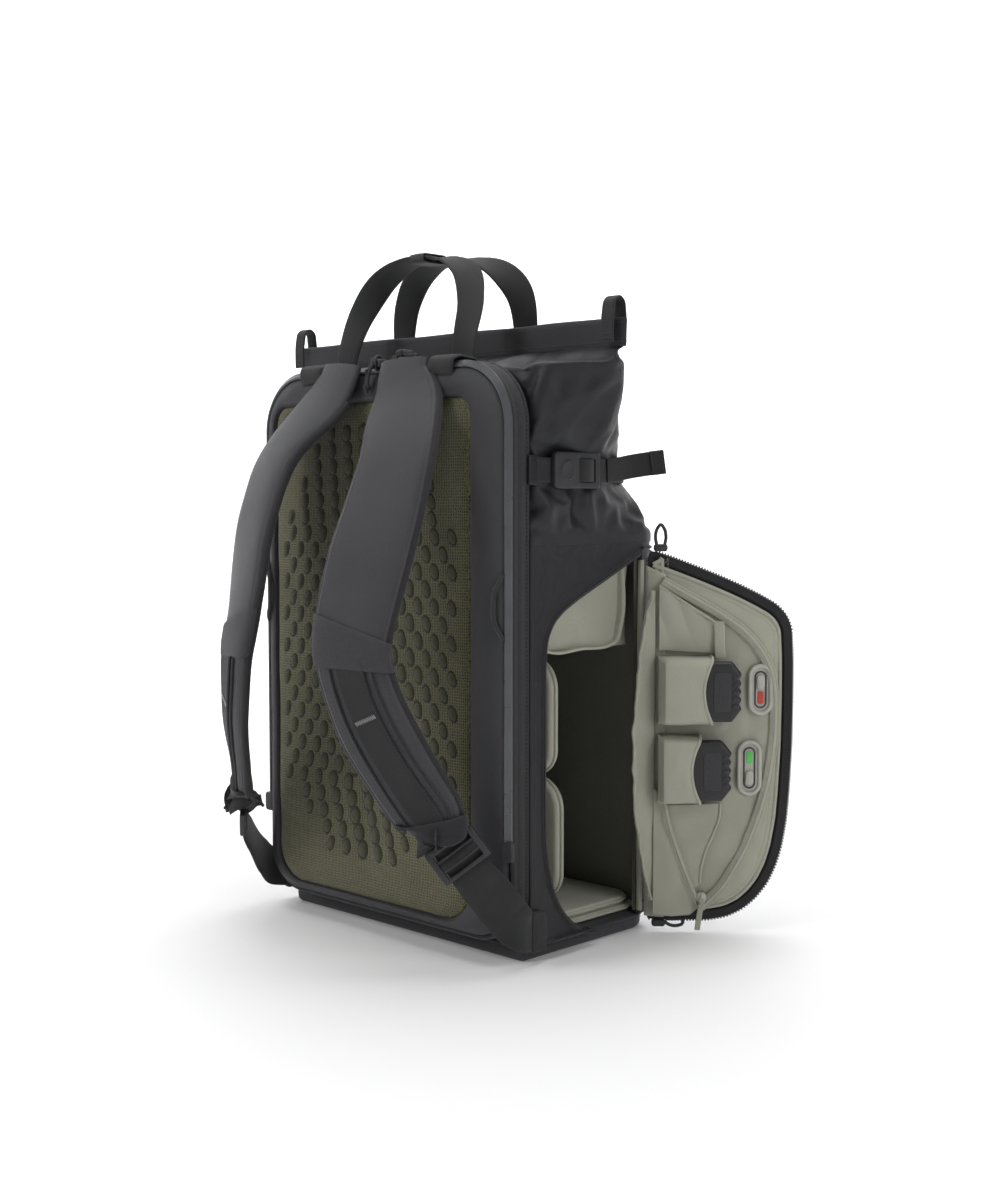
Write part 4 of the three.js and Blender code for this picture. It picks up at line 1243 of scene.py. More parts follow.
def make_sliders():
    """Two zip sliders at the panel's top, each with a knotted cord pull."""
    for tag in ("left", "right"):
        low, high = box(f"panel_zip_slider_{tag}")
        x = (low[0] + high[0]) / 2
        body = slab(f"zip_slider_body_{tag}",
                    rounded_outline((low[0], high[0]), (low[1], high[1]), (3, 3, 3, 3), 1.0),
                    facing_up, high[2] + 0.6, low[2] - 0.6, 1.6, 0.5)
        bridge = tube(f"zip_slider_bridge_{tag}",
                      smooth_line([(x, high[1] - 1.5, high[2]), (x, high[1] - 3, high[2] + 3),
                                   (x, low[1] + 3, high[2] + 3.4),
                                                               (x, low[1] + 1, high[2] - 0.4)], 20), 1.2, 8)
        tab = slab(f"zip_slider_tab_{tag}",
                   rounded_outline((x - 3.4, x + 3.4), (low[2] - 2.5, high[2] + 2.0), (2,) * 4, 0.8),
                   facing_panel, low[1] - 2.2, low[1] - 0.4, 0.6, 0.2)
        finish_piece(joined(f"zip_slider_metal_{tag}", [body, bridge, tab]), f"panel_zip_slider_{tag}",
                     "buckle_plastic", PLASTIC, f"panel_zip_slider_{tag}")

    hanging = [(1, -105.6, 494.5), (-0.4, -108.2, 490), (-2.2, -109.6, 482), (-3.2, -109.4, 473),
               (-3.4, -108.8, 468)]
    lying = [(30, -104.5, 497.6), (36, -106.4, 499.4), (44, -107.6, 498.6), (52, -107.4, 497.4),
             (57, -106.8, 496.4)]
    for tag, path in (("left", hanging), ("right", lying)):
        line = smooth_line(path, 40)
        run = float(np.linalg.norm(np.diff(line, axis=0), axis=1).sum())
        along, _, _ = sweep_frames(line, np.tile([0.1, 1.0, 0.2], (40, 1)))
        side = unit(np.cross(along, (0, 1.0, 0.1)))
        cord = tube(f"pull_cord_{tag}", line, 1.35, 10)
        second = tube(f"pull_cord_second_{tag}", line[2:34] + side[2:34] * 2.1 + np.array([0, -0.5, 0]),
                      1.3, 10)
        lump = tube(f"pull_knot_{tag}", knot(line[14], 2.6, 0.6), 1.25, 8)
        low_lump = tube(f"pull_knot_end_{tag}", knot(line[32], 2.2, 2.1), 1.2, 8)
        for obj, nodes in ((cord, (f"panel_zip_pull_{tag}",)), (second, ()), (lump, ()), (low_lump, ())):
            finish_piece(obj, f"panel_zip_pull_{tag}", "webbing", CORD_BRAID, *nodes)
        if run >= 30:
            print("pull cord", tag, round(run, 1))


make_handles()
make_sliders()


# ---- roll-top collar, rim and side straps ----

WALL_TOP = 345
COLLAR_ROWS = (
    # height, half width and depth at the rear, at the side ridge and at the front
    (374, (153.5, -75.6), (157, 24), (128, 84)),
    (390, (152, -75.6), (155, 4), (124, 66)),
    (402, (152, -75.6), (154.5, 0), (124, 62)),
    (414, (152, -75.6), (157, -2), (124, 58)),
    (432, (151, -75.6), (176, -2), (127, 46)),
    (465, (150, -75.6), (192, -8), (132, 24)),
    (485, (149, -75.6), (199, -12), (138, 6)),
    (500, (152, -22), (203, -17), (150, -12)),
    (503, (152, -22), (204, -17), (150, -12)),
)


def collar_ring(rear, side, front, count):
    """One closed ring of the collar: rear wall, ear, front wall, and the same on the left."""
    half = [(0, rear[1]), (rear[0] * 0.5, rear[1]), (rear[0] * 0.88, rear[1]),
            (rear[0] + (side[0] - rear[0]) * 0.25, rear[1] + (side[1] - rear[1]) * 0.12),
            (rear[0] + (side[0] - rear[0]) * 0.75, rear[1] + (side[1] - rear[1]) * 0.55), side,
            (front[0] + (side[0] - front[0]) * 0.72, front[1] + (side[1] - front[1]) * 0.5),
            (front[0] + (side[0] - front[0]) * 0.1, front[1] + (side[1] - front[1]) * 0.08),
            (front[0] * 0.86, front[1]), (front[0] * 0.5, front[1]), (0, front[1])]
    left = [(-x, y) for x, y in half[-2:0:-1]]
    ring = np.array(half + left, float)
    closed = np.vstack([ring[-3:], ring, ring[:3]])
    fine = smooth_line(closed, 900)
    length = np.concatenate([[0], np.cumsum(np.linalg.norm(np.diff(fine, axis=0), axis=1))])
    start = int(np.argmin(np.linalg.norm(fine[:400] - ring[0], axis=1)))
    end = 450 + int(np.argmin(np.linalg.norm(fine[450:] - ring[0], axis=1)))
    at = np.linspace(length[start], length[end], count, endpoint=False)
    return np.stack([np.interp(at, length, fine[:, k]) for k in range(2)], 1)


CREASES = (
    # start, end, depth, width: folds that fan out from the compression strap and the hinge
    ((165, -52, 418), (196, -22, 492), 4.5, 7),
    ((160, -66, 425), (178, -50, 486), -4.0, 8),
    ((163, -20, 412), (190, -12, 455), 4.0, 6),
    ((166, 8, 414), (180, 0, 470), -4.2, 8),
    ((158, -60, 440), (200, -20, 478), 3.6, 6),
    ((150, -74, 470), (186, -30, 497), -3.6, 6),
    ((156, -58, 392), (152, -40, 350), -3.5, 8),
    ((158, -20, 390), (154, 10, 352), 4.0, 8),
    ((156, 20, 392), (150, 50, 350), -4.0, 9),
    ((160, -8, 388), (156, -30, 356), -3.0, 6),
    ((120, 60, 408), (60, 60, 430), 3.5, 9),
    ((118, 62, 398), (40, 70, 380), -3.5, 10),
    ((140, 20, 470), (60, 22, 480), 3.4, 8),
)


def crease_push(points):
    """How far folds push each point outwards."""
    push = np.zeros(len(points))
    for start, end, depth, width in CREASES:
        for sign in (1, -1):
            a, b = np.array(start, float) * (sign, 1, 1), np.array(end, float) * (sign, 1, 1)
            t = np.clip(((points - a) @ (b - a)) / ((b - a) @ (b - a)), 0, 1)
            near = a + t[:, None] * (b - a)
            bend = 5 * np.sin(t * math.pi * 1.5 + depth)
            distance = np.linalg.norm(points - near + np.stack([0 * bend, 0 * bend, bend], 1), axis=1)
            push += depth * np.exp(-(distance / width) ** 2) * np.sin(math.pi * (0.15 + 0.7 * t))
    return push


def wall_ring(count):
    """The lower body's outline, with the same point count and start as a ring of the collar."""
    x, y, r = 155.6, 95.4, 28
    half = [(0, -75.6), (x, -75.6), (x, y - r)]
    half += [(x - r + r * math.cos(a), y - r + r * math.sin(a)) for a in np.linspace(0.1, math.pi / 2, 12)]
    half += [(0, y)]
    ring = np.array(half + [(-a, b) for a, b in half[-2:0:-1]], float)
    ring = np.vstack([ring, ring[:1]])
    length = np.concatenate([[0], np.cumsum(np.linalg.norm(np.diff(ring, axis=0), axis=1))])
    at = np.linspace(0, length[-1], count, endpoint=False)
    return np.stack([np.interp(at, length, ring[:, k]) for k in range(2)], 1)


def make_collar():
    count = 240
    heights = [WALL_TOP - 4, WALL_TOP + 5] + [r[0] for r in COLLAR_ROWS]
    keys = np.array([wall_ring(count), wall_ring(count)]
                    + [collar_ring(r[1], r[2], r[3], count) for r in COLLAR_ROWS])
    levels = np.concatenate([np.linspace(heights[0], 485, 50), np.linspace(488, heights[-1], 6)])
    rings = []
    for z in levels:
        flat = np.stack([np.stack([np.interp(z, heights,
                                             keys[:, i, k]) for k in range(2)]) for i in range(count)])
        rings.append(np.column_stack([flat, np.full(count, z)]))
    rings = np.array(rings)
    points = rings.reshape(-1, 3)
    centre = points * (0, 0, 1) + (0, -5, 0)
    outward = unit(points - centre)
    free = (np.clip((points[:, 2] - 350) / 16, 0, 1) * np.clip((502 - points[:, 2]) / 14, 0, 1)
            * np.clip((points[:, 1] + 75.5) / 7, 0, 1))
    pinch = 1 - np.exp(-((points[:, 2] - 402) / 9) ** 2)
    push = crease_push(points) + 1.5 * wobble(points, 34, 4.0) + 0.8 * wobble(points, 14, 9.0)
    points = points + outward * (push * free * pinch)[:, None]
    collar = skin("rolltop_nylon", points.reshape(rings.shape), caps=(False, False))

    group = collar.vertex_groups.new(name="held")
    for i, f in enumerate(free * (0.35 + 0.65 * pinch)):
        group.add([i], 1.0 if f < 0.02 else max(0.0, 0.22 * (1 - f)), "REPLACE")
    cloth = collar.modifiers.new("cloth", "CLOTH")
    settings = cloth.settings
    settings.quality = 5
    settings.mass = 0.2
    settings.tension_stiffness = settings.compression_stiffness = 12
    settings.shear_stiffness = 6
    settings.bending_stiffness = 0.35
    settings.vertex_group_mass = "held"
    settings.shrink_min = settings.shrink_max = -0.045
    settings.effector_weights.gravity = 0
    settings.use_pressure = True
    settings.uniform_pressure_force = 0.12
    cloth.collision_settings.use_collision = False
    cloth.collision_settings.use_self_collision = False
    scene = bpy.context.scene
    cloth.point_cache.frame_start, cloth.point_cache.frame_end = 1, 20
    for f in range(1, 21):
        scene.frame_set(f)
    start = np.array(points)
    apply_modifiers(collar)
    moved = np.array([v.co for v in collar.data.vertices]) / MM
    step = moved - start
    reach = np.linalg.norm(step, axis=1, keepdims=True)
    limit = 9.0
    loose = np.clip(free * 2.0, 0, 1)[:, None]
    moved = start + step * loose * np.minimum(1, limit / np.maximum(reach, 1e-6))
    print("collar cloth moved", round(float(reach.max()), 1))
    for v, p in zip(collar.data.vertices, moved):
        v.co = p * MM
    scene.frame_set(1)
    work = bmesh.new()
    work.from_mesh(collar.data)
    gone = [f for f in work.faces
            if f.calc_center_median().y / MM < -73 and in_mouth(f.calc_center_median() / MM)]
    bmesh.ops.delete(work, geom=gone, context="FACES")
    work.to_mesh(collar.data)
    work.free()
    modifier = collar.modifiers.new("thickness", "SOLIDIFY")
    modifier.thickness, modifier.offset = 1.2 * MM, -1
    apply_modifiers(collar)
    subdivide(collar, 1)
    finish_piece(collar, "shell", "nylon", NYLON_CLOTH, "rolltop_collar")


def in_mouth(p):
    """Whether a point of the rear wall lies in the opening that the back panel closes."""
    low, high = (GUSSET_LOW[0] + 3.5, GUSSET_LOW[2]), (GUSSET_HIGH[0] - 3.5, GUSSET_HIGH[2] - 3.5)
    return edge_distance(p.x, p.z, low, high, (36, 48, 48, 36)) > 6


def rim_outline():
    return collar_ring((152, -22), (204, -17), (150, -12), 300)


def make_rim():
    """The stiff band along the roll-top's mouth: doubled nylon with stitched edges and a back seam."""
    low, high = RIM_LOW, RIM_HIGH
    outline = rim_outline()
    z0, z1 = low[2] - 1, high[2] + 1.5
    profile = [(-0.6, z0 + 2), (0.2, z0 + 0.2), (0.9, z0 + 0.5), (1.2, z0 + 1.8), (1.1, z0 + 4),
               (1.3, (z0 + z1) / 2),
               (1.6, z1 - 3), (1.3, z1 - 0.8), (0.2, z1), (-1.0, z1 - 0.8), (-1.6, z1 - 3),
               (-1.2, (z0 + z1) / 2)]
    band = around("rim_band_cloth", outline, profile, place=facing_up)
    for v in band.data.vertices:
        v.co.z += 1.1 * MM * noise.noise(Vector((v.co.x * 16, v.co.y * 10, 0.3)))
        v.co.y += 0.9 * MM * noise.noise(Vector((v.co.x * 22, 4.0, v.co.z * 18)))
    # The rim band's lighter nylon colour is painted light.
    finish_piece(band, "shell", "nylon", RIM_CLOTH_PAINTED_LIGHT, "rim_band")
    normals = outward_normals(outline)
    lift = [(n[0], n[1], 0) for n in normals]
    lift.append(lift[0])
    rows = []
    for k, z in enumerate((z0 + 4.4, z1 - 4)):
        line = [(p[0] + n[0] * 1.9, p[1] + n[1] * 1.9, z) for p, n in zip(outline, normals)]
        rows.append(stitches(f"rim_row_{k}", line, lift, 3.4, 2.3, 0.24, closed=True))
    for x in (-75, 75):
        line = [(x + 1.5, -24.2, z) for z in np.linspace(z0 + 1, z1 - 1, 6)]
        rows.append(stitches(f"rim_seam_{x}", line, (0, -1, 0), 3.4, 2.3, 0.24))
    finish_piece(joined("rim_stitches", rows), "shell", "nylon", THREAD_DARK)

    for tag, sign in (("right", 1), ("left", -1)):
        low, high = box(f"end_tab_{tag}")
        x = (low[0] + high[0]) / 2
        y = (low[1] + high[1]) / 2
        path = [(x, y - 8.0, low[2] - 2), (x, y - 8.2, low[2] + 6), (x, y - 7.4, high[2] - 12),
                (x, y - 4.8, high[2] - 3.2), (x, y, high[2] - 0.6),
                (x, y + 4.8, high[2] - 3.2), (x, y + 7.0, high[2] - 12), (x, y + 7.6, low[2] + 6),
                (x, y + 7.4, low[2] - 2)]
        line = smooth_line(path, 70)
        loop = ribbon(f"end_tab_loop_{tag}", line, np.tile([1.0, 0, 0], (70, 1)), np.full(70, 13.0),
                      flat_section(2.0, 0.7))
        finish_piece(loop, "shell", "webbing", WEBBING, f"end_tab_{tag}")
        rows = []
        for k, z in enumerate((low[2] + 1, low[2] + 5)):
            rows.append(stitches(f"tab_row_{tag}_{k}",
                                 [(x - 5, y - 9.3, z), (x, y - 9.3, z), (x + 5, y - 9.3, z)],
                                 (0, -1, 0), 1.6, 1.3, 0.3))
        finish_piece(joined(f"end_tab_bartack_{tag}", rows), "shell", "webbing", THREAD_DARK)


def make_side_straps():
    """Compression strap, its two-slot buckle and its hemmed tail, on each side."""
    z = 402
    route = [(155.5, -78, z), (158.4, -68, z), (159.2, -40, z), (159.6, 4, z), (156.5, 26, z), (149, 44, z),
             (137, 60, z), (128, 66, z - 1)]
    line = smooth_line(route, 90)
    strap = ribbon("side_strap_webbing_right", line, np.tile([0, 0, 1.0], (90, 1)), np.full(90, 20.0),
                   flat_section(1.9, 0.7))
    low, high = box("side_buckle_right")
    y0, y1, z0, z1 = low[1], high[1], low[2], high[2]
    x_in, x_out = low[0] + 0.4, high[0] + 1.2
    parts = []
    for k, (a, b) in enumerate(((y0, -28.4), (-20.6, -15.4), (-8.6, y1))):
        radii = [(1.4, 1.4, 5, 5), (1.2,) * 4, (5, 5, 1.4, 1.4)][k]
        radii = tuple(min(r, (b - a) / 2 - 0.2) for r in radii)
        parts.append(slab(f"buckle_part_{k}",
                          rounded_outline((a, b), (z0 + (k == 1) * 4, z1 - (k == 1) * 4), radii, 1.0),
                          facing_side, x_out - (k == 1) * 0.9, x_in, 1.3, 0.5 if k == 0 else 0.1))
    for k, zz in enumerate(((z0, z0 + 6), (z1 - 6, z1))):
        parts.append(slab(f"buckle_rail_{k}", rounded_outline((-30, -6), zz, (2.4,) * 4, 1.0),
                          facing_side, x_out - 0.1, x_in, 1.3, 0.1))
    dish = [(-43 + 8.4 * math.cos(a), z + 8.4 * math.sin(a)) for a in np.linspace(0, 2 * math.pi, 40)[:-1]]
    parts.append(slab("buckle_dish", np.array(dish), facing_side, x_out + 1.0, x_out - 1, 0.9, -0.5))
    buckle = joined("side_buckle_frame_right", parts)
    weave = [(159.2, -58, z), (x_out - 2.4, -32, z), (x_out + 0.9, -24.5, z), (x_out + 1.6, -18, z),
             (x_out - 0.6, -12, z),
             (x_in - 2.2, -4, z), (159.5, 6, z)]
    loop = ribbon("side_strap_threaded_right", smooth_line(weave[1:6], 50), np.tile([0, 0, 1.0], (50, 1)),
                  np.full(50, 19.0), flat_section(1.6, 0.6))
    tail_route = [(161.4, 11, z + 0.5), (163.4, 22, z + 1.4), (168, 36, z + 4), (177, 50, z + 6.5),
                  (184.5, 58.5, z + 8)]
    tail_line = smooth_line(tail_route, 60)
    tail = ribbon("side_strap_free_end_right", tail_line, np.tile([0.05, 0.05, 1.0], (60, 1)),
                  np.full(60, 20.0), flat_section(1.9, 0.7))
    hem = ribbon("side_strap_hem_right", tail_line[46:], np.tile([0.05, 0.05, 1.0], (14, 1)),
                 np.full(14, 20.6),
                 flat_section(4.6, 0.9))
    tail_rows = []
    _, across, outward = sweep_frames(tail_line, np.tile([0.05, 0.05, 1.0], (60, 1)))
    for k in (47, 57):
        for face in (-1, 1):
            path = [tail_line[k] + across[k] * a + outward[k] * face * 2.4 for a in (-8, 0, 8)]
            tail_rows.append(stitches(f"hem_row_{k}_{face}", path, outward[k] * face, 2.6, 1.9, 0.28))
    hem_thread = joined("side_strap_hem_stitches_right", tail_rows)
    patch = slab("side_strap_patch_right", rounded_outline((-80, -66), (z - 12, z + 12), (1.5,) * 4, 1.5),
                 facing_side, 158.2, 152, 0.8, 0.4)
    for obj, body, slot, material, nodes in (
            (strap, "shell", "webbing", WEBBING, ("side_strap_right",)),
            (buckle, "side_buckle_right", "buckle_plastic", PLASTIC, ("side_buckle_right",)),
            (loop, "shell", "webbing", WEBBING, ()),
            (tail, "shell", "webbing", WEBBING, ("side_strap_tail_right",)),
            (hem, "shell", "webbing", WEBBING, ()), (hem_thread, "shell", "webbing", THREAD_DARK, ()),
            (patch, "shell", "nylon", NYLON_CLOTH, ())):
        other = mirrored(obj, obj.name.replace("right", "left"))
        finish_piece(obj, body, slot, material, *nodes)
        finish_piece(other, body.replace("right", "left"), slot, material,
                     *[n.replace("right", "left") for n in nodes])


make_collar()
make_rim()
make_side_straps()


# ---- lower body: walls, base and lining ----

WALL_X = 155.0
FRONT_FACE = 95.0
DOOR_EDGE = ((4, 12), (30, 12), (58, 12), (74, 15), (88, 22), (99, 32), (108, 44), (115, 59), (120, 76),
             (124, 100),
             (126, 125), (128, 164), (128.5, 204), (128.4, 240), (127, 268), (122, 279), (114, 287),
             (100, 295),
             (85, 302.5), (68, 310), (50, 317.5), (28, 326), (4, 334.5))


def wall_path(inset=0.0, y_end=66.0, count=170):
    """Level path round the front of the body, from the right side's door seam to the left side's."""
    r = 28 - inset * 0.6
    x, y = WALL_X - inset, FRONT_FACE - inset
    points = [(x, y_end), (x, y - r)]
    points += [(x - r + r * math.cos(a), y - r + r * math.sin(a)) for a in np.linspace(0, math.pi / 2, 14)]
    points += [(0, y)]
    full = points + [(-a, b) for a, b in points[::-1][1:]]
    full = np.array(full)
    run = np.concatenate([[0], np.cumsum(np.linalg.norm(np.diff(full, axis=0), axis=1))])
    at = np.linspace(0, run[-1], count)
    return np.stack([np.interp(at, run, full[:, k]) for k in range(2)], 1)


def make_front():
    low, high = box("front_panel")
    outer, inner = wall_path(0.4), wall_path(4.6)
    rings = []
    for z in np.linspace(low[2], high[2], 70):
        ring = np.vstack([outer, inner[::-1]])
        rings.append(np.column_stack([ring, np.full(len(ring), z)]))
    rings = np.array(rings)
    points = rings.reshape(-1, 3)
    t = (points[:, 2] - low[2]) / (high[2] - low[2])
    swell = np.sin(math.pi * t) ** 0.7
    side = np.array([0, 1.0, 0])
    on_front = np.clip((points[:, 1] - 60) / 30, 0, 1)
    flat = 1 - (points[:, 0] / WALL_X) ** 4
    points += side * (5.5 * swell * on_front * flat)[:, None]
    points += side * ((1.3 * wobble(points, 55, 6.0) + 0.5 * wobble(points, 18,
                                                                    2.0)) * on_front * swell)[:, None]
    wall = skin("front_wall_cloth", points.reshape(rings.shape))
    finish_piece(wall, "shell", "shell_fabric", PANEL_CLOTH, "front_panel")
    for tag, z in (("upper", high[2] - 8), ("lower", low[2] + 10)):
        line = wall_path(0.0)
        at = np.column_stack([line, np.full(len(line), z)])
        flat = 1 - (at[:, 0] / WALL_X) ** 4
        share = (z - low[2]) / (high[2] - low[2])
        at[:, 1] += 5.5 * math.sin(math.pi * share) ** 0.7 * np.clip((at[:, 1] - 60) / 30, 0, 1) * flat
        piping = tube(f"front_piping_{tag}", at, 1.5, 8)
        finish_piece(piping, "shell", "shell_fabric", BINDING)
    # The front wall's lining uses the darkened sage: painted shade inside the compartment.
    lining = wall_path(6.4)
    rings = []
    for z in np.linspace(low[2] + 2, high[2] - 2, 30):
        rings.append([(x, y, z) for x, y in np.vstack([lining, (wall_path(7.6))[::-1]])])
    sheet = skin("front_wall_lining", rings)
    finish_piece(sheet, "shell", "lining", LINING_PAINTED_SHADE)


OPENING_EDGE = ((8, 16.4), (-7, 19), (-20, 25.3), (-30.4, 34.8), (-39, 46.5), (-45.6, 60.5), (-50.6, 77),
                (-53.8, 100),
                (-54.6, 125), (-54.6, 175), (-54.5, 225),
                (-54, 250), (-51.5, 265), (-45, 276), (-34, 285), (-20, 292.5), (4, 303), (30, 314),
                (50, 322.6), (65, 329))


def make_sides():
    low, high = box("left_side_panel")
    outline = matched_outline((low[1], high[1]), (low[2], high[2]), (3, 3, 3, 3), 30, 50, 3)
    left = slab("left_wall_cloth", outline, facing_side, low[0] + 0.3, high[0], 1.0, 2.6)
    points = np.array([v.co for v in left.data.vertices]) / MM
    outer = points[:, 0] < low[0] + 1
    shift = np.where(outer, 0.9 * wobble(points, 50, 3.3) + 0.3 * wobble(points, 16, 1.0), 0)
    for v, s in zip(left.data.vertices, shift):
        v.co.x -= abs(s) * 0.6 * MM
    finish_piece(left, "shell", "nylon", NYLON_CLOTH, "left_side_panel")
    # The left wall's lining uses the darkened sage: painted shade inside the compartment.
    lining = slab("left_wall_lining",
                  matched_outline((low[1] + 3, high[1] - 3), (low[2] + 3, high[2] - 3), (3,) * 4, 20, 30, 3),
                  facing_side, high[0] + 1.6, high[0] + 0.3, 0.5, 0.5)
    finish_piece(lining, "shell", "lining", LINING_PAINTED_SHADE)
    for k, y in enumerate((low[1] + 6, high[1] - 5)):
        path = [(low[0] - 0.2 - 2.3 * math.sin(math.pi * t) * 0.25, y,
                 low[2] + 4 + (high[2] - low[2] - 8) * t) for t in np.linspace(0, 1, 60)]
        finish_piece(tube(f"left_wall_piping_{k}", path, 1.5, 8), "shell", "nylon", BINDING)

    # right: a strip beside the panel and the wedge above the door's top edge
    low, high = box("right_side_panel")
    outline = [(low[1], low[2])] + [(y, z) for y, z in OPENING_EDGE]
    outline += [(high[1] + 3.5, OPENING_EDGE[-1][1] + 2), (high[1] + 3.5, high[2]), (low[1], high[2])]
    outline = even_outline(outline, 3.0)
    right = flat_plate("right_wall_cloth", outline, 150.6, 155.4)
    finish_piece(right, "shell", "nylon", NYLON_CLOTH, "right_side_panel")

    edge = smooth_line(OPENING_EDGE, 160)
    path = np.array([(154.2, y, z) for y, z in edge])
    away = level_sides(path)
    if away[100][1] > 0:
        away = -away
    tape = ribbon("opening_zip_tape", path + away * 4.2, level_sides(path), np.full(160, 6.4), zip_section)
    finish_piece(tape, "shell", "coated_zip", BINDING)
    roll = tube("opening_binding", path + away * 1.6 - np.array([1.4, 0, 0]), 1.6, 10)
    finish_piece(roll, "shell", "nylon", BINDING)


def zip_section(half):
    """Zip tape with its coil raised along the middle."""
    a = np.array([-half, -half * 0.55, -2.2, -1.4, -0.5, 0, 0.5, 1.4, 2.2, half * 0.55, half])
    h = np.array([0.35, 0.6, 0.6, 1.5, 1.6, 0.7, 1.6, 1.5, 0.6, 0.6, 0.35])
    return np.vstack([np.stack([a, h], 1), [(half, -0.3), (0, -0.4), (-half, -0.3)]])


def level_sides(path):
    """Directions across a path that lies in an upright plane."""
    along = unit(np.gradient(path, axis=0))
    normal = unit(np.cross(along[len(along) // 3], along[-len(along) // 4]))
    if np.linalg.norm(normal) < 0.5:
        normal = np.array([1.0, 0, 0])
    return unit(np.cross(along, normal))


def flat_plate(name, outline, x0, x1):
    """A cloth plate with any outline, filled with even faces so that it can be shaped."""
    work = bmesh.new()
    verts = [work.verts.new((x1 * MM, a * MM, b * MM)) for a, b in outline]
    corners = [Vector((a, b, 0)) for a, b in outline]
    for triangle in tessellate_polygon([corners]):
        work.faces.new([verts[k] for k in triangle])
    bmesh.ops.recalc_face_normals(work, faces=work.faces)
    mesh = bpy.data.meshes.new(name)
    work.to_mesh(mesh)
    work.free()
    obj = bpy.data.objects.new(name, mesh)
    bpy.context.scene.collection.objects.link(obj)
    modifier = obj.modifiers.new("thickness", "SOLIDIFY")
    modifier.thickness, modifier.offset = (x1 - x0) * MM, -1
    modifier = obj.modifiers.new("grid", "REMESH")
    modifier.mode, modifier.voxel_size = "VOXEL", 2.0 * MM
    modifier = obj.modifiers.new("smooth", "SMOOTH")
    modifier.factor, modifier.iterations = 0.5, 4
    apply_modifiers(obj)
    border = smooth_line(OPENING_EDGE, 120)
    for v in obj.data.vertices:
        p = v.co / MM
        near = float(np.min(np.hypot(border[:, 0] - p.y, border[:, 1] - p.z)))
        v.co.x += (0.5 * noise.noise(Vector((p.y / 22, 1.0, p.z / 22))) -
                   1.3 * math.exp(-(near / 9) ** 2)) * MM
    tidy_normals(obj)
    return obj


def make_hinge_lining():
    """Lining turned round the front wall's end, beside the door's hinge."""
    path = [(148.6, 74, 0), (149.6, 67.5, 0), (152, 65.2, 0), (155.2, 65.0, 0), (156.4, 66.4, 0)]
    line = smooth_line(path, 24)
    rows = [[(x, y + 0.3 * math.sin(z / 23), z) for x, y, _ in line] for z in np.linspace(19, 326, 60)]
    sheet = skin("hinge_lining", rows, wrap=False)
    modifier = sheet.modifiers.new("thickness", "SOLIDIFY")
    modifier.thickness, modifier.offset = 0.9 * MM, 0
    apply_modifiers(sheet)
    finish_piece(sheet, "shell", "lining", LINING_CLOTH)


def make_base():
    low, high = box("base_panel")
    outline = matched_outline((low[0] - 8, high[0] + 8), (low[1], high[1] - 2), (6, 24, 24, 6), 50, 30, 8)
    base = slab("base_cloth", outline, facing_up, low[2] + 0.2, high[2], 5.0, 0.0)
    finish_piece(base, "shell", "shell_fabric", PANEL_CLOTH, "base_panel")
    ring = rings_inward(outline, [-0.4])[0]
    line = [(a, b, high[2] - 3) for a, b in ring]
    finish_piece(tube("base_piping", line, 1.6, 8, closed=True), "shell", "shell_fabric", BINDING)
    normals = outward_normals(outline)
    lift = [(n[0], n[1], 0) for n in normals]
    lift.append(lift[0])
    thread = stitches("base_stitches", [(a, b, high[2] - 7.5) for a, b in ring], lift, 3.6, 2.4, 0.3,
                      closed=True)
    finish_piece(thread, "shell", "shell_fabric", THREAD_DARK)
    feet = []
    for x in (-95, 95):
        for y in (low[1] + 30, high[1] - 32):
            feet.append(slab(f"base_foot_{x}_{round(y)}",
                             rounded_outline((x - 22, x + 22), (y - 7, y + 7), (6.9,) * 4, 1.5),
                             facing_up, low[2], low[2] + 2.5, 0.8, 0.3))
    finish_piece(joined("base_feet", feet), "shell", "shell_fabric", BINDING)


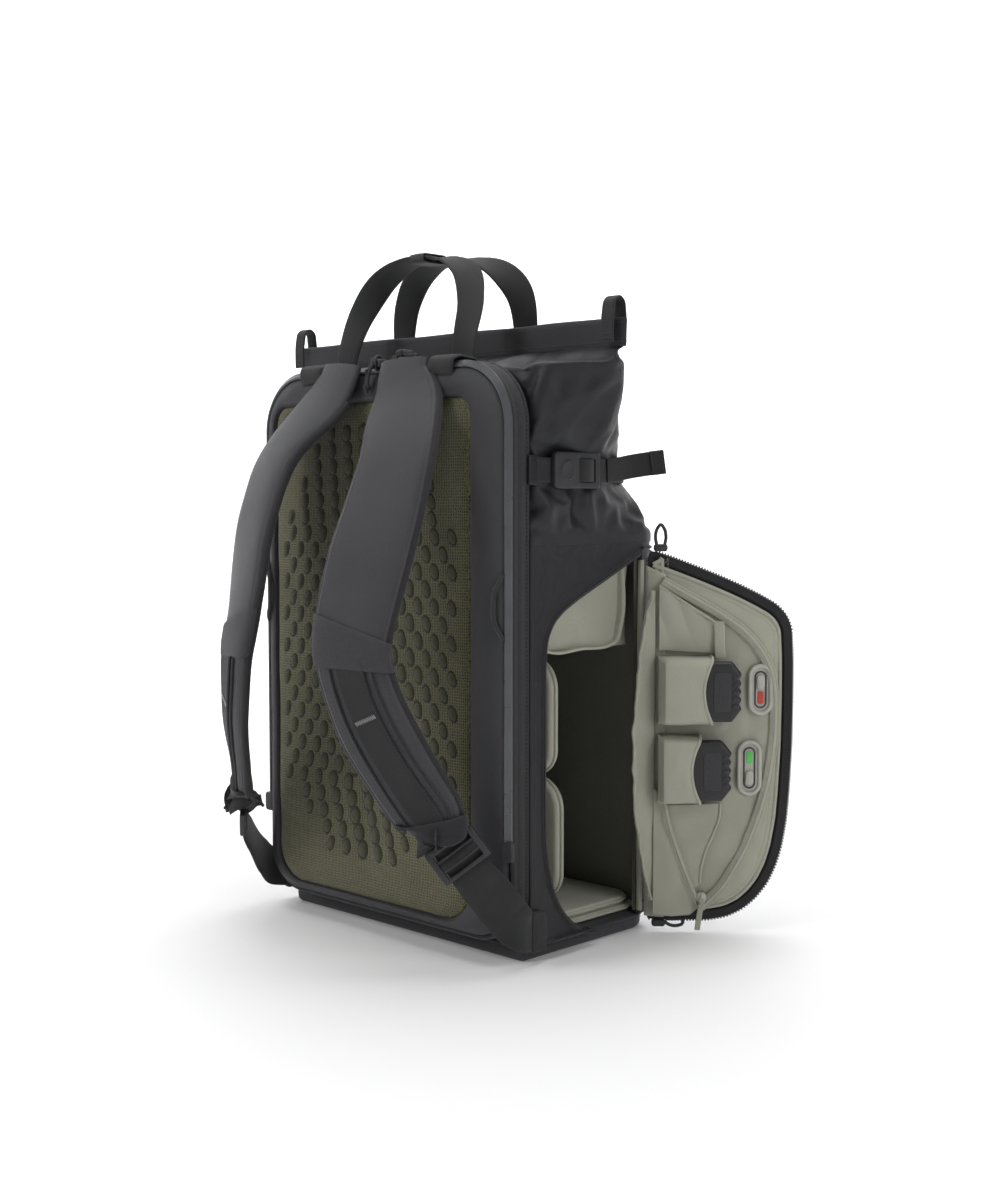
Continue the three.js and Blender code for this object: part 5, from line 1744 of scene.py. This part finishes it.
def make_interior():
    low, high = box("floor_pad")
    for k, (z0, z1, inset) in enumerate(((low[2], low[2] + 5.0, 0), (low[2] + 5.2, high[2] + 1.5, 4))):
        outline = matched_outline((low[0] + inset, high[0] - inset), (low[1] + inset, high[1] - inset),
                                  (10, 22, 22, 10), 50, 30, 7)
        pad = slab(f"floor_pad_layer_{k}", outline, facing_up, z1, z0, 2.2, 1.4 if k else 0.4)
        finish_piece(pad, "shell", "lining", LINING_CLOTH, *(("floor_pad",) if k else ()))
        ring = [(a, b, (z0 + z1) / 2) for a, b in rings_inward(outline, [-0.3])[0]]
        finish_piece(tube(f"floor_pad_binding_{k}", ring, 1.3, 8, closed=True), "shell", "lining",
                     LINING_TRIM)

    for name, reach in (("divider_upper", 27), ("divider_lower", 16)):
        low, high = box(name)
        outline = matched_outline((low[0], high[0] + reach), (low[2], high[2]), (18, 26, 6, 6), 30, 24, 10)
        pad = slab(f"{name}_pad", outline, facing_panel, low[1], high[1], 3.5, 2.6)
        finish_piece(pad, "shell", "lining", LINING_CLOTH, name)
        ring = [(a, (low[1] + high[1]) / 2, b) for a, b in rings_inward(outline, [-0.4])[0]]
        finish_piece(tube(f"{name}_binding", ring, 1.6, 8, closed=True), "shell", "lining", LINING_TRIM)

    # the upper bay's hanging bag: a trough of soft lining, closed at its ends
    low, high = box("upper_bay_liner")
    y0, y1, z0, z1 = low[1], high[1], low[2], high[2]
    section = [(y0, z1), (y0, z0 + 16), (y0 + 5, z0 + 5), (y0 + 16, z0 + 1), (0, z0), (y1 - 16, z0 + 1),
               (y1 - 5, z0 + 5), (y1, z0 + 16), (y1, z1)]
    path = smooth_line([(0, a, b) for a, b in section], 70)
    rings = [[(x, p[1], p[2]) for p in path] for x in np.linspace(low[0], high[0], 90)]
    rings = np.array(rings)
    points = rings.reshape(-1, 3)
    points[:, 2] += 1.6 * wobble(points, 40, 7.0) * (points[:, 2] < z0 + 14)
    trough = skin("upper_bay_trough", points.reshape(rings.shape), wrap=False)
    modifier = trough.modifiers.new("thickness", "SOLIDIFY")
    modifier.thickness, modifier.offset = 2.2 * MM, 0
    apply_modifiers(trough)
    finish_piece(trough, "shell", "lining", LINING_CLOTH, "upper_bay_liner")
    for tag, x, sign in (("right", high[0] - 3, 1), ("left", low[0] + 3, -1)):
        rows = []
        for t in np.linspace(0, 1, 46):
            row = []
            for p in np.linspace(0, 1, 46):
                y = y0 + (y1 + 12.5 - y0) * p
                bottom = np.interp(p, (0, 0.05, 0.16, 0.5, 1), (z0 + 14, z0 + 4, z0 + 1, z0, z0))
                z = bottom + (z1 + 4 - bottom) * t
                dent = 5.0 * math.sin(math.pi * min(1, t * 1.1)) * p ** 1.4 + 1.8 * noise.noise(Vector((y / 34, sign, z / 30)))
                dent += 3.0 * (1 - t) ** 2
                row.append((x - sign * max(0.0, dent), y, z))
            rows.append(row)
        curtain = skin(f"upper_bay_end_{tag}", rows, wrap=False)
        modifier = curtain.modifiers.new("thickness", "SOLIDIFY")
        modifier.thickness, modifier.offset = 1.6 * MM, 0
        apply_modifiers(curtain)
        finish_piece(curtain, "shell", "lining", LINING_CLOTH)

    low, high = box("laptop_sleeve")
    outline = matched_outline((low[0], high[0]), (low[2], high[2]), (10, 8, 8, 10), 30, 40, 6)
    sleeve = slab("laptop_sleeve_pad", outline, facing_panel, high[1], low[1], 3.0, 2.0)
    finish_piece(sleeve, "back_panel", "lining", LINING_CLOTH, "laptop_sleeve")
    ring = [(a, high[1] - 2, b) for a, b in rings_inward(outline, [-0.3])[0]]
    finish_piece(tube("laptop_sleeve_binding", ring, 1.8, 8, closed=True), "back_panel", "lining",
                 LINING_TRIM)
    seam = rings_inward(outline, [8])[0]
    thread = stitches("laptop_sleeve_stitches", [(a, high[1] + 0.9, b) for a, b in seam], (0, 1, 0), 3.6,
                      2.4, 0.3, closed=True)
    finish_piece(thread, "back_panel", "lining", THREAD_SAGE)


# Sage lining darkened to 0.42 of its tone: painted shade for the lining inside the closed walls.
LINING_PAINTED_SHADE = woven("lining_wall_painted_shade", tone(SAGE, 0.42), pitch=0.5, depth=0.05, rough=(0.7, 0.85), contrast=0.1,
                    wear=0.05)
make_front()
make_sides()
make_hinge_lining()
make_base()
make_interior()


# ---- side door, its lining, pockets and batteries ----

def door_line(points, depth, count):
    """A smooth line on the door from (u, z) points at one depth."""
    flat = smooth_line([(u, z, 0) for u, z in points], count)
    depths = np.broadcast_to(depth, (count,))
    return np.array([door_point(u, d, z) for (u, z, _), d in zip(flat, depths)])


def inset_door(inset, step=3.0, passes=2):
    ring = soft_outline(DOOR_EDGE, step, passes)
    moved = rings_inward(ring, [inset])[0]
    return even_outline(moved, step)


def door_sheet(name, outline, depth_of, thickness, step=3.2):
    """A cloth sheet on the door with a free outline. depth_of(u, z) gives how far out it lies."""
    outline = even_outline(outline, step)
    centre = outline.mean(0)
    rings = []
    for s in np.linspace(0, 0.97, 26):
        ring = outline + (centre - outline) * s
        rings.append([door_point(u, depth_of(u, z), z) for u, z in ring])
    sheet = skin(name, rings, caps=(False, True))
    modifier = sheet.modifiers.new("thickness", "SOLIDIFY")
    modifier.thickness, modifier.offset = thickness * MM, 0
    apply_modifiers(sheet)
    return sheet


def soft(u, z, size, seed):
    return noise.noise(Vector((u / size, seed, z / size)))


def make_door_shell():
    outline = inset_door(5.0)

    def depth(u, z):
        d = float(np.min(np.hypot(outline[:, 0] - u, outline[:, 1] - z)))
        swell = 3.4 * (1 - math.exp(-d / 16))
        return 2.6 + swell + (1.2 * soft(u, z, 36, 1.0) + 0.5 * soft(u, z, 14, 4.0)) * min(1, d / 14)

    shell = door_sheet("door_outer_cloth", outline, depth, 2.6)
    finish_piece(shell, "side_door", "nylon", NYLON_CLOTH, "side_door")
    edge = inset_door(3.2)
    free = edge[(edge[:, 0] > 5.0)]
    start = int(np.argmax(np.linalg.norm(free - np.roll(free, 1, 0), axis=1)))
    free = np.roll(free, -start, 0)
    path = np.array([door_point(u, 1.6, z) for u, z in free])
    normals = unit(np.gradient(path, axis=0))
    sides = unit(np.cross(normals, DOOR_OUT))
    tape = ribbon("door_zip_tape", path, sides, np.full(len(path), 8.4), zip_section)
    back = ribbon("door_zip_back", path - DOOR_OUT * 1.2, sides, np.full(len(path), 8.0),
                  flat_section(1.4, 0.5))
    finish_piece(tape, "side_door", "webbing", BINDING, "door_zip")
    finish_piece(back, "side_door", "webbing", BINDING)
    teeth = []
    run = np.concatenate([[0], np.cumsum(np.linalg.norm(np.diff(path, axis=0), axis=1))])
    outer_edge = path - sides * 4.2
    if np.linalg.norm((outer_edge - path.mean(0)), axis=1).mean() < np.linalg.norm(path - path.mean(0),
                                                                                   axis=1).mean():
        outer_edge = path + sides * 4.2
    for s in np.arange(2, run[-1] - 2, 2.6):
        at = np.array([np.interp(s, run, outer_edge[:, i]) for i in range(3)])
        ahead = np.array([np.interp(s + 1, run, outer_edge[:, i]) for i in range(3)])
        teeth.append((at, unit(ahead - at)))
    points, faces = [], []
    for at, along in teeth:
        base = len(points)
        across = unit(np.cross(along, DOOR_OUT))
        for offset in (-0.75, 0.75):
            for a in np.linspace(0, 2 * math.pi, 6, endpoint=False):
                points.append(at + along * offset + across * math.cos(a) * 1.3 + DOOR_OUT * math.sin(a) * 1.1)
        faces += grid_faces(2, 6, True, base)
        faces += [tuple(base + i for i in range(6))[::-1], tuple(base + 6 + i for i in range(6))]
    finish_piece(make_object("door_zip_teeth", points, faces), "side_door", "webbing", PLASTIC)

    for tag in ("upper", "lower"):
        z, u = (336.5, 14.0) if tag == "upper" else (8.4, 14.0)
        foot = slab(f"door_slider_foot_{tag}",
                    rounded_outline((u - 6, u + 6), (z - 3.2, z + 3.2), (2.4,) * 4, 0.9),
                    on_door, 4.2, -1.6, 1.2, 0.4)
        if tag == "upper":
            loop = [(10.5, 339), (9.5, 346), (11, 353), (14, 356.5), (17, 353), (18.5, 346), (17.5, 339)]
        else:
            loop = [(19, 9.5), (24, 6.4), (30, 5.6), (35.5, 8.0), (35, 11.0), (28, 11.6), (20, 11.4)]
        ring = tube(f"door_slider_loop_{tag}", door_line(loop, 0.8, 44), 1.5, 10)
        finish_piece(joined(f"door_slider_{tag}", [foot, ring]), f"door_zip_slider_{tag}", "buckle_plastic",
                     PLASTIC,
                     f"door_zip_slider_{tag}")


D_ZIP = ((15, 308), (28, 300.5), (46, 290.5), (68, 277.5), (86, 264), (100, 248), (108, 232), (111.6, 214),
         (112.4, 194),
         (111.6, 172), (109, 148), (104, 124), (97, 101), (88.5, 79), (77.5, 58), (66, 40.5), (56, 30.5),
         (50, 24))


def lining_depth(u, z):
    """The lining's face, below zero towards the camera: soft folds between its seams."""
    fold = 2.2 * soft(u, z, 30, 2.0) + 1.0 * soft(u, z, 13, 5.0)
    fold += 1.2 * math.sin((u * 0.9 + z) / 17) * math.exp(-((z - 100) / 60) ** 2)
    return -3.4 - 0.9 - abs(fold)


def make_lining():
    outline = inset_door(10.5)
    edge_keep = outline

    def depth(u, z):
        d = min(1.0, np.min(np.hypot(edge_keep[:, 0] - u, edge_keep[:, 1] - z)) / 12)
        return -0.8 + (lining_depth(u, z) + 0.8) * d ** 0.6

    sheet = door_sheet("door_lining_cloth", outline, depth, 1.0)
    finish_piece(sheet, "side_door", "lining", LINING_CLOTH, "door_lining")
    ring = inset_door(11.0)
    line = [door_point(u, -2.0, z) for u, z in ring]
    finish_piece(tube("door_lining_binding", line, 1.8, 10, closed=True), "side_door", "lining", LINING_TRIM)
    seam = inset_door(16)
    thread = stitches("door_lining_stitches", [door_point(u, depth(u, z) - 0.7, z) for u, z in seam],
                      -DOOR_OUT, 3.0, 2.1, 0.26, closed=True)
    finish_piece(thread, "side_door", "lining", THREAD_SAGE)

    path = door_line(D_ZIP, -8.2, 150)
    sides = unit(np.cross(unit(np.gradient(path, axis=0)), DOOR_OUT))
    tape = ribbon("pocket_zip_tape", path, sides, np.full(150, 7.4), zip_section, 1)
    if sweep_frames(path, sides)[2][70] @ DOOR_OUT > 0:
        bpy.data.objects.remove(tape)
        tape = ribbon("pocket_zip_tape", path, sides, np.full(150, 7.4), zip_section, -1)
    finish_piece(tape, "side_door", "lining", LINING_TRIM)
    gusset = []
    for p, s in zip(path, sides):
        inner = p + DOOR_OUT * 4.5
        gusset.append([p + s * 4.0, p + s * 3.7 - DOOR_OUT * 0.4, p - s * 3.7 - DOOR_OUT * 0.4, p - s * 4.0,
                       inner - s * 4.6, inner + s * 4.6])
    bed = skin("pocket_zip_bed", gusset)
    finish_piece(bed, "side_door", "lining", LINING_CLOTH)
    for sign in (-1, 1):
        edge = path + sides * sign * 2.9 - DOOR_OUT * 1.0
        thread = stitches(f"pocket_zip_stitches_{'in' if sign < 0 else 'out'}", edge, -DOOR_OUT, 2.8, 2.0,
                          0.24)
        finish_piece(thread, "side_door", "lining", THREAD_SAGE)
    coil = tube("pocket_zip_coil", path - DOOR_OUT * 1.5, 0.8, 8)
    finish_piece(coil, "side_door", "lining", THREAD_SAGE)


def bound_edge(name, points, radius=1.3, material=None):
    obj = tube(name, smooth_line(points, 60), radius, 10)
    return finish_piece(obj, "side_door", "lining", material or LINING_TRIM)


def make_pouch(tag):
    """A battery pouch: a boxed sleeve, open towards the door's free edge, with a curved bound mouth."""
    low_z, high_z, mouth = (186, 243, 66) if tag == "upper" else (118, 175, 56)
    start, deep = 12.0, 30.2
    middle = (low_z + high_z) / 2
    half = (high_z - low_z) / 2
    rings = []
    count = 40
    for s in np.linspace(0, 1, 22):
        ring = []
        for t in np.linspace(0, 1, count):
            across = -1 + 2 * t
            lip = 7.0 * (1 - across ** 2) * s ** 2
            z = middle + across * (half + 0.6) * (1.0 + 0.012 * math.sin(6 * s))
            hug = (1 - abs(across) ** 16) ** 0.5
            belly = 1.0 + 0.03 * math.sin(math.pi * s) * (1 - across ** 2)
            rise = (deep - 6.6) * hug * min(1.0, 0.55 + s * 4.5) * belly
            crease = (0.5 + 0.7 * soft(s * 50, z, 14, 3.0)) * hug
            u = start + (mouth - start) * s - (9.0 + lip * 1.2) * s
            ring.append(door_point(u, -6.6 - rise - crease, z))
        rings.append(ring)
    sleeve = skin(f"battery_pouch_cloth_{tag}", rings, wrap=False)
    modifier = sleeve.modifiers.new("thickness", "SOLIDIFY")
    modifier.thickness, modifier.offset = 1.1 * MM, 0
    apply_modifiers(sleeve)
    finish_piece(sleeve, "side_door", "lining", LINING_CLOTH, f"battery_pouch_{tag}")
    mouth_line = rings[-1]
    bound_edge(f"battery_pouch_mouth_{tag}", mouth_line, 1.5)
    back_edge = rings[0]
    bound_edge(f"battery_pouch_back_{tag}", back_edge, 0.9)
    for k, z in ((0, low_z - 1.6), (1, high_z + 1.6)):
        line = door_line([(start, z), ((start + mouth) / 2, z), (mouth + 6, z)], -7.4, 40)
        finish_piece(stitches(f"pouch_stitches_{tag}_{k}", line, -DOOR_OUT, 2.8, 2.0, 0.26), "side_door",
                     "lining", THREAD_SAGE)


def make_battery(tag):
    """A flight battery: chamfered case, ribbed grip end and a moulded arrow-free label panel."""
    low, high = (189, 240) if tag == "upper" else (121, 172)
    left, right = (17, 81) if tag == "upper" else (17, 73)
    y0, y1 = -27.6, -12.2
    mid = (low + high) / 2

    def outline(inset):
        c = 8.0
        l, r, b, t = left + inset, right - inset, low + inset, high - inset
        notch = 2.2
        pts = [(l, b), (r - c, b), (r - 3, b + c * 0.8), (r, b + c * 1.3)]
        steps = np.linspace(b + c * 1.4, t - c * 1.4, 9)
        for k, z in enumerate(steps):
            pts.append((r - (notch if k % 2 else 0), z))
        pts += [(r, t - c * 1.3), (r - 3, t - c * 0.8), (r - c, t), (l, t)]
        return even_outline(pts, 1.6)

    case = slab(f"battery_case_{tag}", outline(0), on_door, y0, y1, 2.2, 0.3)
    parts = []
    plate = rounded_outline((right - 24, right - 9), (low + 9, high - 9), (2.5,) * 4, 1.2)
    parts.append(slab("plate", plate, on_door, y0 - 0.8, y0 + 1.0, 0.5, 0.1))
    for k in range(5):
        z = mid - 12 + 6 * k
        rib = rounded_outline((right - 7.5, right - 2.4), (z - 1.4, z + 1.4), (1.2,) * 4, 0.7)
        parts.append(slab(f"rib_{k}", rib, on_door, y0 - 1.0, y0 + 1.0, 0.5, 0.1))
    for k in range(4):
        z = mid - 9 + 6 * k
        parts.append(slab(f"lamp_{k}",
                          rounded_outline((right - 20, right - 17.6), (z - 1.2, z + 1.2), (1.1,) * 4, 0.5),
                          on_door, y0 - 1.2, y0, 0.3, 0.1))
    trim = joined(f"battery_details_{tag}", parts)
    finish_piece(case, f"battery_{tag}", "battery_case", BATTERY_PLASTIC, f"battery_{tag}")
    finish_piece(trim, f"battery_{tag}", "battery_case", PLASTIC)
    seam = inset_loop(outline(0.0), -0.1)
    groove = tube(f"battery_seam_{tag}", [door_point(u, (y0 + y1) / 2 - 2, z) for u, z in seam], 0.5, 6,
                  closed=True)
    finish_piece(groove, f"battery_{tag}", "battery_case", PLASTIC)


def inset_loop(outline, inset):
    return rings_inward(outline, [inset])[0]


def make_status(tag):
    """A status marker: a raised oval frame with a slot, a colour behind it and a sliding knob."""
    u0, u1, z0, z1 = (90, 110, 194, 235) if tag == "upper" else (81, 101, 124, 169)
    u = (u0 + u1) / 2
    surround = rounded_outline((u0 + 1, u1 - 1), (z0, z1), (9,) * 4, 1.4)
    parts = []
    ring = [door_point(a, -8.0, b) for a, b in surround]
    parts.append(tube("ring", ring, 1.9, 10, closed=True))
    plate = slab("plate", inset_loop(surround, 1.0), on_door, -7.8, -6.0, 0.5, 0.0)
    frame_obj = joined(f"status_surround_{tag}", parts)
    finish_piece(frame_obj, "side_door", "status_plastic", STATUS_PLASTIC, f"status_frame_{tag}")
    plate.name = f"status_plate_{tag}"
    finish_piece(plate, "side_door", "status_plastic", STATUS_PLASTIC)
    inner = rounded_outline((u - 4.6, u + 4.6), (z0 + 5, z1 - 5), (4.5,) * 4, 1.0)
    groove = tube(f"status_groove_{tag}", [door_point(a, -8.2, b) for a, b in inner], 0.7, 8, closed=True)
    finish_piece(groove, "side_door", "status_plastic", THREAD_DARK)
    colour = SIGNAL_RED if tag == "upper" else SIGNAL_GREEN
    c0, c1 = (z0 + 8, z0 + 19) if tag == "upper" else (z1 - 19, z1 - 8)
    window = slab(f"status_window_{tag}", rounded_outline((u - 2.6, u + 2.6), (c0, c1), (1.6,) * 4, 0.8),
                  on_door, -8.4, -7.4, 0.3, 0.1)
    finish_piece(window, "side_door", "status_plastic", colour)
    low, high = box(f"status_slider_{tag}")
    k0, k1 = low[2], high[2]
    knob = slab(f"status_knob_{tag}", rounded_outline((u - 3.4, u + 3.4), (k0, k1), (3.2,) * 4, 0.8),
                on_door, -10.8, -8.8, 0.8, 0.3)
    ribs = [slab(f"knob_rib_{i}", rounded_outline((u - 2.2, u + 2.2), (z - 0.5, z + 0.5), (0.4,) * 4, 0.5),
                 on_door, -11.3, -10.6, 0.3, 0.05)
            for i, z in enumerate(np.linspace(k0 + 3.4, k1 - 3.4, 3))]
    finish_piece(joined(f"status_slide_{tag}", [knob] + ribs), f"status_slider_{tag}", "status_plastic",
                 STATUS_PLASTIC,
                 f"status_slider_{tag}")


def make_pockets():
    # upper slip pocket with a slanted, pleated face and a webbing tab
    def upper_depth(u, z):
        pleat = 1.5 * math.sin((u * 0.7 + z * 0.25) / 4.2) * math.exp(-((z - 285) / 22) ** 2)
        return -7.8 - 2.2 * math.sin(math.pi * np.clip((z - 244) / 62, 0,
                                                       1)) - abs(pleat) - 0.6 * soft(u, z, 16, 8.0)

    outline = [(12, 249), (40, 247), (66, 246), (67, 262), (60, 272), (44, 283), (26, 295), (12, 304)]
    pocket = door_sheet("slip_pocket_upper", outline, upper_depth, 1.0)
    finish_piece(pocket, "side_door", "lining", LINING_CLOTH)
    thread = stitches("slip_pocket_upper_stitches",
                      door_line([(13, 249.6), (40, 248), (66, 247)], -10.4, 40), -DOOR_OUT, 2.8, 2.0, 0.26)
    finish_piece(thread, "side_door", "lining", THREAD_SAGE)
    bound_edge("slip_pocket_upper_edge", [door_point(u, upper_depth(u, z) - 0.4, z) for u, z in
                                          ((12, 304), (26, 295), (44, 283), (60, 272), (67, 262))], 1.3)
    tab = door_line([(63, 274), (63.6, 262), (64, 250), (64.6, 243)], (-13.2), 30)
    strip = ribbon("pouch_tab", tab, np.tile(DOOR_ALONG, (30, 1)), np.full(30, 9.0), flat_section(1.4, 0.5))
    finish_piece(strip, "side_door", "lining", LINING_TRIM)

    # lower slip pocket, its bound edge falling from the lower pouch to the foot of the zip
    def lower_depth(u, z):
        return -8.6 - 2.2 * math.sin(math.pi * np.clip((z - 26) / 92, 0, 1)) - 1.0 * soft(u, z, 20, 1.0)

    edge = [(66, 116), (65, 104), (60, 90), (54, 76), (50, 62), (48.5, 46)]
    outline = [(13, 114), (40, 115)] + edge + [(44, 40), (30, 62), (16, 88)]
    pocket = door_sheet("slip_pocket_lower", outline, lower_depth, 1.0)
    finish_piece(pocket, "side_door", "lining", LINING_CLOTH)
    bound_edge("slip_pocket_lower_edge", [door_point(u, lower_depth(u, z) - 0.5, z) for u, z in edge], 1.3)

    # the zipped pocket's own panel, still sewn down at the foot
    def foot_depth(u, z):
        return -10.0 - 3.2 * math.exp(-((u - 22) / 16) ** 2) * math.sin(math.pi * np.clip((z - 12) / 120, 0,
                                                                                          1)) - soft(u, z, 18, 6.0)

    zip_edge = [(48, 25), (41, 40), (34, 57), (27, 76), (20, 98), (15, 122)]
    outline = [(8, 18), (24, 17), (40, 18)] + zip_edge + [(8, 130)]
    foot = door_sheet("zip_pocket_foot", outline, foot_depth, 1.1)
    finish_piece(foot, "side_door", "lining", LINING_CLOTH)
    path = smooth_line([door_point(u, foot_depth(u, z) - 0.8, z) for u, z in zip_edge], 60)
    sides = unit(np.cross(unit(np.gradient(path, axis=0)), DOOR_OUT))
    flip = -1 if sweep_frames(path, sides)[2][30] @ DOOR_OUT > 0 else 1
    tape = ribbon("zip_pocket_foot_tape", path, sides, np.full(60, 7.0), zip_section, flip)
    finish_piece(tape, "side_door", "lining", LINING_TRIM)


FLAP_TURN = math.radians(-126.5)


def flap_point(s, bend, z):
    """A place on the pocket's open flap: s along the leaf from its hinge, bend across it."""
    along = DOOR_ALONG * math.cos(FLAP_TURN) + DOOR_OUT * math.sin(FLAP_TURN)
    across = -DOOR_ALONG * math.sin(FLAP_TURN) + DOOR_OUT * math.cos(FLAP_TURN)
    return door_point(10, -8.6, 0) + along * s + across * bend + UP * z


def make_hinge_strip():
    """Lining that covers the door's hinge edge, where it meets the lining of the front wall."""
    rows = []
    for z in np.linspace(15, 322, 70):
        rows.append([door_point(u, d - 0.4 * abs(soft(u, z, 18, 3.0)), z - 0.45 * u * (z > 300))
                     for u, d in ((1.6, 0.4), (3.2, -1.0), (5.5, -2.2), (8.5, -3.2), (12, -4.4), (15, -5.0),
                                  (18, -5.2))])
    sheet = skin("door_hinge_lining", rows, wrap=False)
    modifier = sheet.modifiers.new("thickness", "SOLIDIFY")
    modifier.thickness, modifier.offset = 0.9 * MM, 0
    apply_modifiers(sheet)
    finish_piece(sheet, "side_door", "lining", LINING_CLOTH)


def make_flap():
    z0, z1 = 32.0, 300.0
    rows = []
    widths = []
    for t in np.linspace(0, 1, 90):
        z = z0 + (z1 - z0) * t
        width = 33 * np.interp(t, (0, 0.1, 0.3, 0.55, 0.8, 0.92, 1), (0.12, 0.45, 0.92, 1.0, 0.72, 0.4, 0.1))
        widths.append(width)
        row = []
        for s in np.linspace(0, 1, 24):
            curl = -3.4 * math.sin(math.pi * s) - 1.8 * abs(noise.noise(Vector((s * 1.6, 2.0,
                                                                                z / 26)))) * min(1, s * 3)
            curl += 1.0 * noise.noise(Vector((s * 3, 5.0, z / 11))) * s - 1.0
            row.append(flap_point(1.0 + width * s, curl, z))
        rows.append(row)
    leaf = skin("pocket_flap_cloth", rows, wrap=False)
    modifier = leaf.modifiers.new("thickness", "SOLIDIFY")
    modifier.thickness, modifier.offset = 1.4 * MM, 0
    apply_modifiers(leaf)
    finish_piece(leaf, "pocket_flap", "lining", LINING_CLOTH, "pocket_flap")
    edge = np.array([row[-1] for row in rows])
    binding = tube("pocket_flap_binding", edge, 1.5, 10)
    finish_piece(binding, "pocket_flap", "lining", LINING_TRIM)
    inner = np.array([row[-5] for row in rows])
    across = -DOOR_ALONG * math.sin(FLAP_TURN) + DOOR_OUT * math.cos(FLAP_TURN)
    sides = unit(edge - inner)
    middle = np.array([(row[-3]) for row in rows])
    for face in (-1, 1):
        tape = ribbon(f"pocket_flap_zip_{'in' if face < 0 else 'out'}", middle + across * face * 1.0, sides,
                      spread(np.minimum(8, np.array(widths) * 0.34), 90),
                      flat_section(0.9, 0.3))
        finish_piece(tape, "pocket_flap", "lining", LINING_TRIM)
    coil = tube("pocket_flap_coil", edge + unit(edge - inner) * 1.2, 1.0, 8)
    finish_piece(coil, "pocket_flap", "lining", THREAD_SAGE)

    body = slab("pocket_slider_body", rounded_outline((46, 54), (30, 38), (2.6,) * 4, 0.9), on_door, -13.4,
                -8.0, 1.2, 0.5)
    bridge = tube("pocket_slider_bridge", door_line([(50, 37), (50, 34), (50, 31)], (-14.4), 12), 1.1, 8)
    finish_piece(joined("pocket_slider", [body, bridge]), "pocket_zip_slider", "status_plastic",
                 STATUS_PLASTIC,
                 "pocket_zip_slider")
    path = smooth_line([door_point(50, -14.6, 34), door_point(49.4, -16.0, 29), door_point(48, -15.4, 20),
                        door_point(46.2, -14.6, 6)], 40)
    pull = ribbon("pocket_pull_cloth", path, np.tile(DOOR_ALONG, (40, 1)), np.full(40, 5.0),
                  flat_section(1.8, 0.6))
    cord = tube("pocket_pull_knot", knot(path[8], 2.4, 0.4), 1.1, 8)
    finish_piece(joined("pocket_pull", [pull, cord]), "pocket_zip_pull", "lining", LINING_TRIM,
                 "pocket_zip_pull")


make_door_shell()
make_lining()
for level in ("upper", "lower"):
    make_pouch(level)
    make_battery(level)
    make_status(level)
make_pockets()
make_hinge_strip()
make_flap()
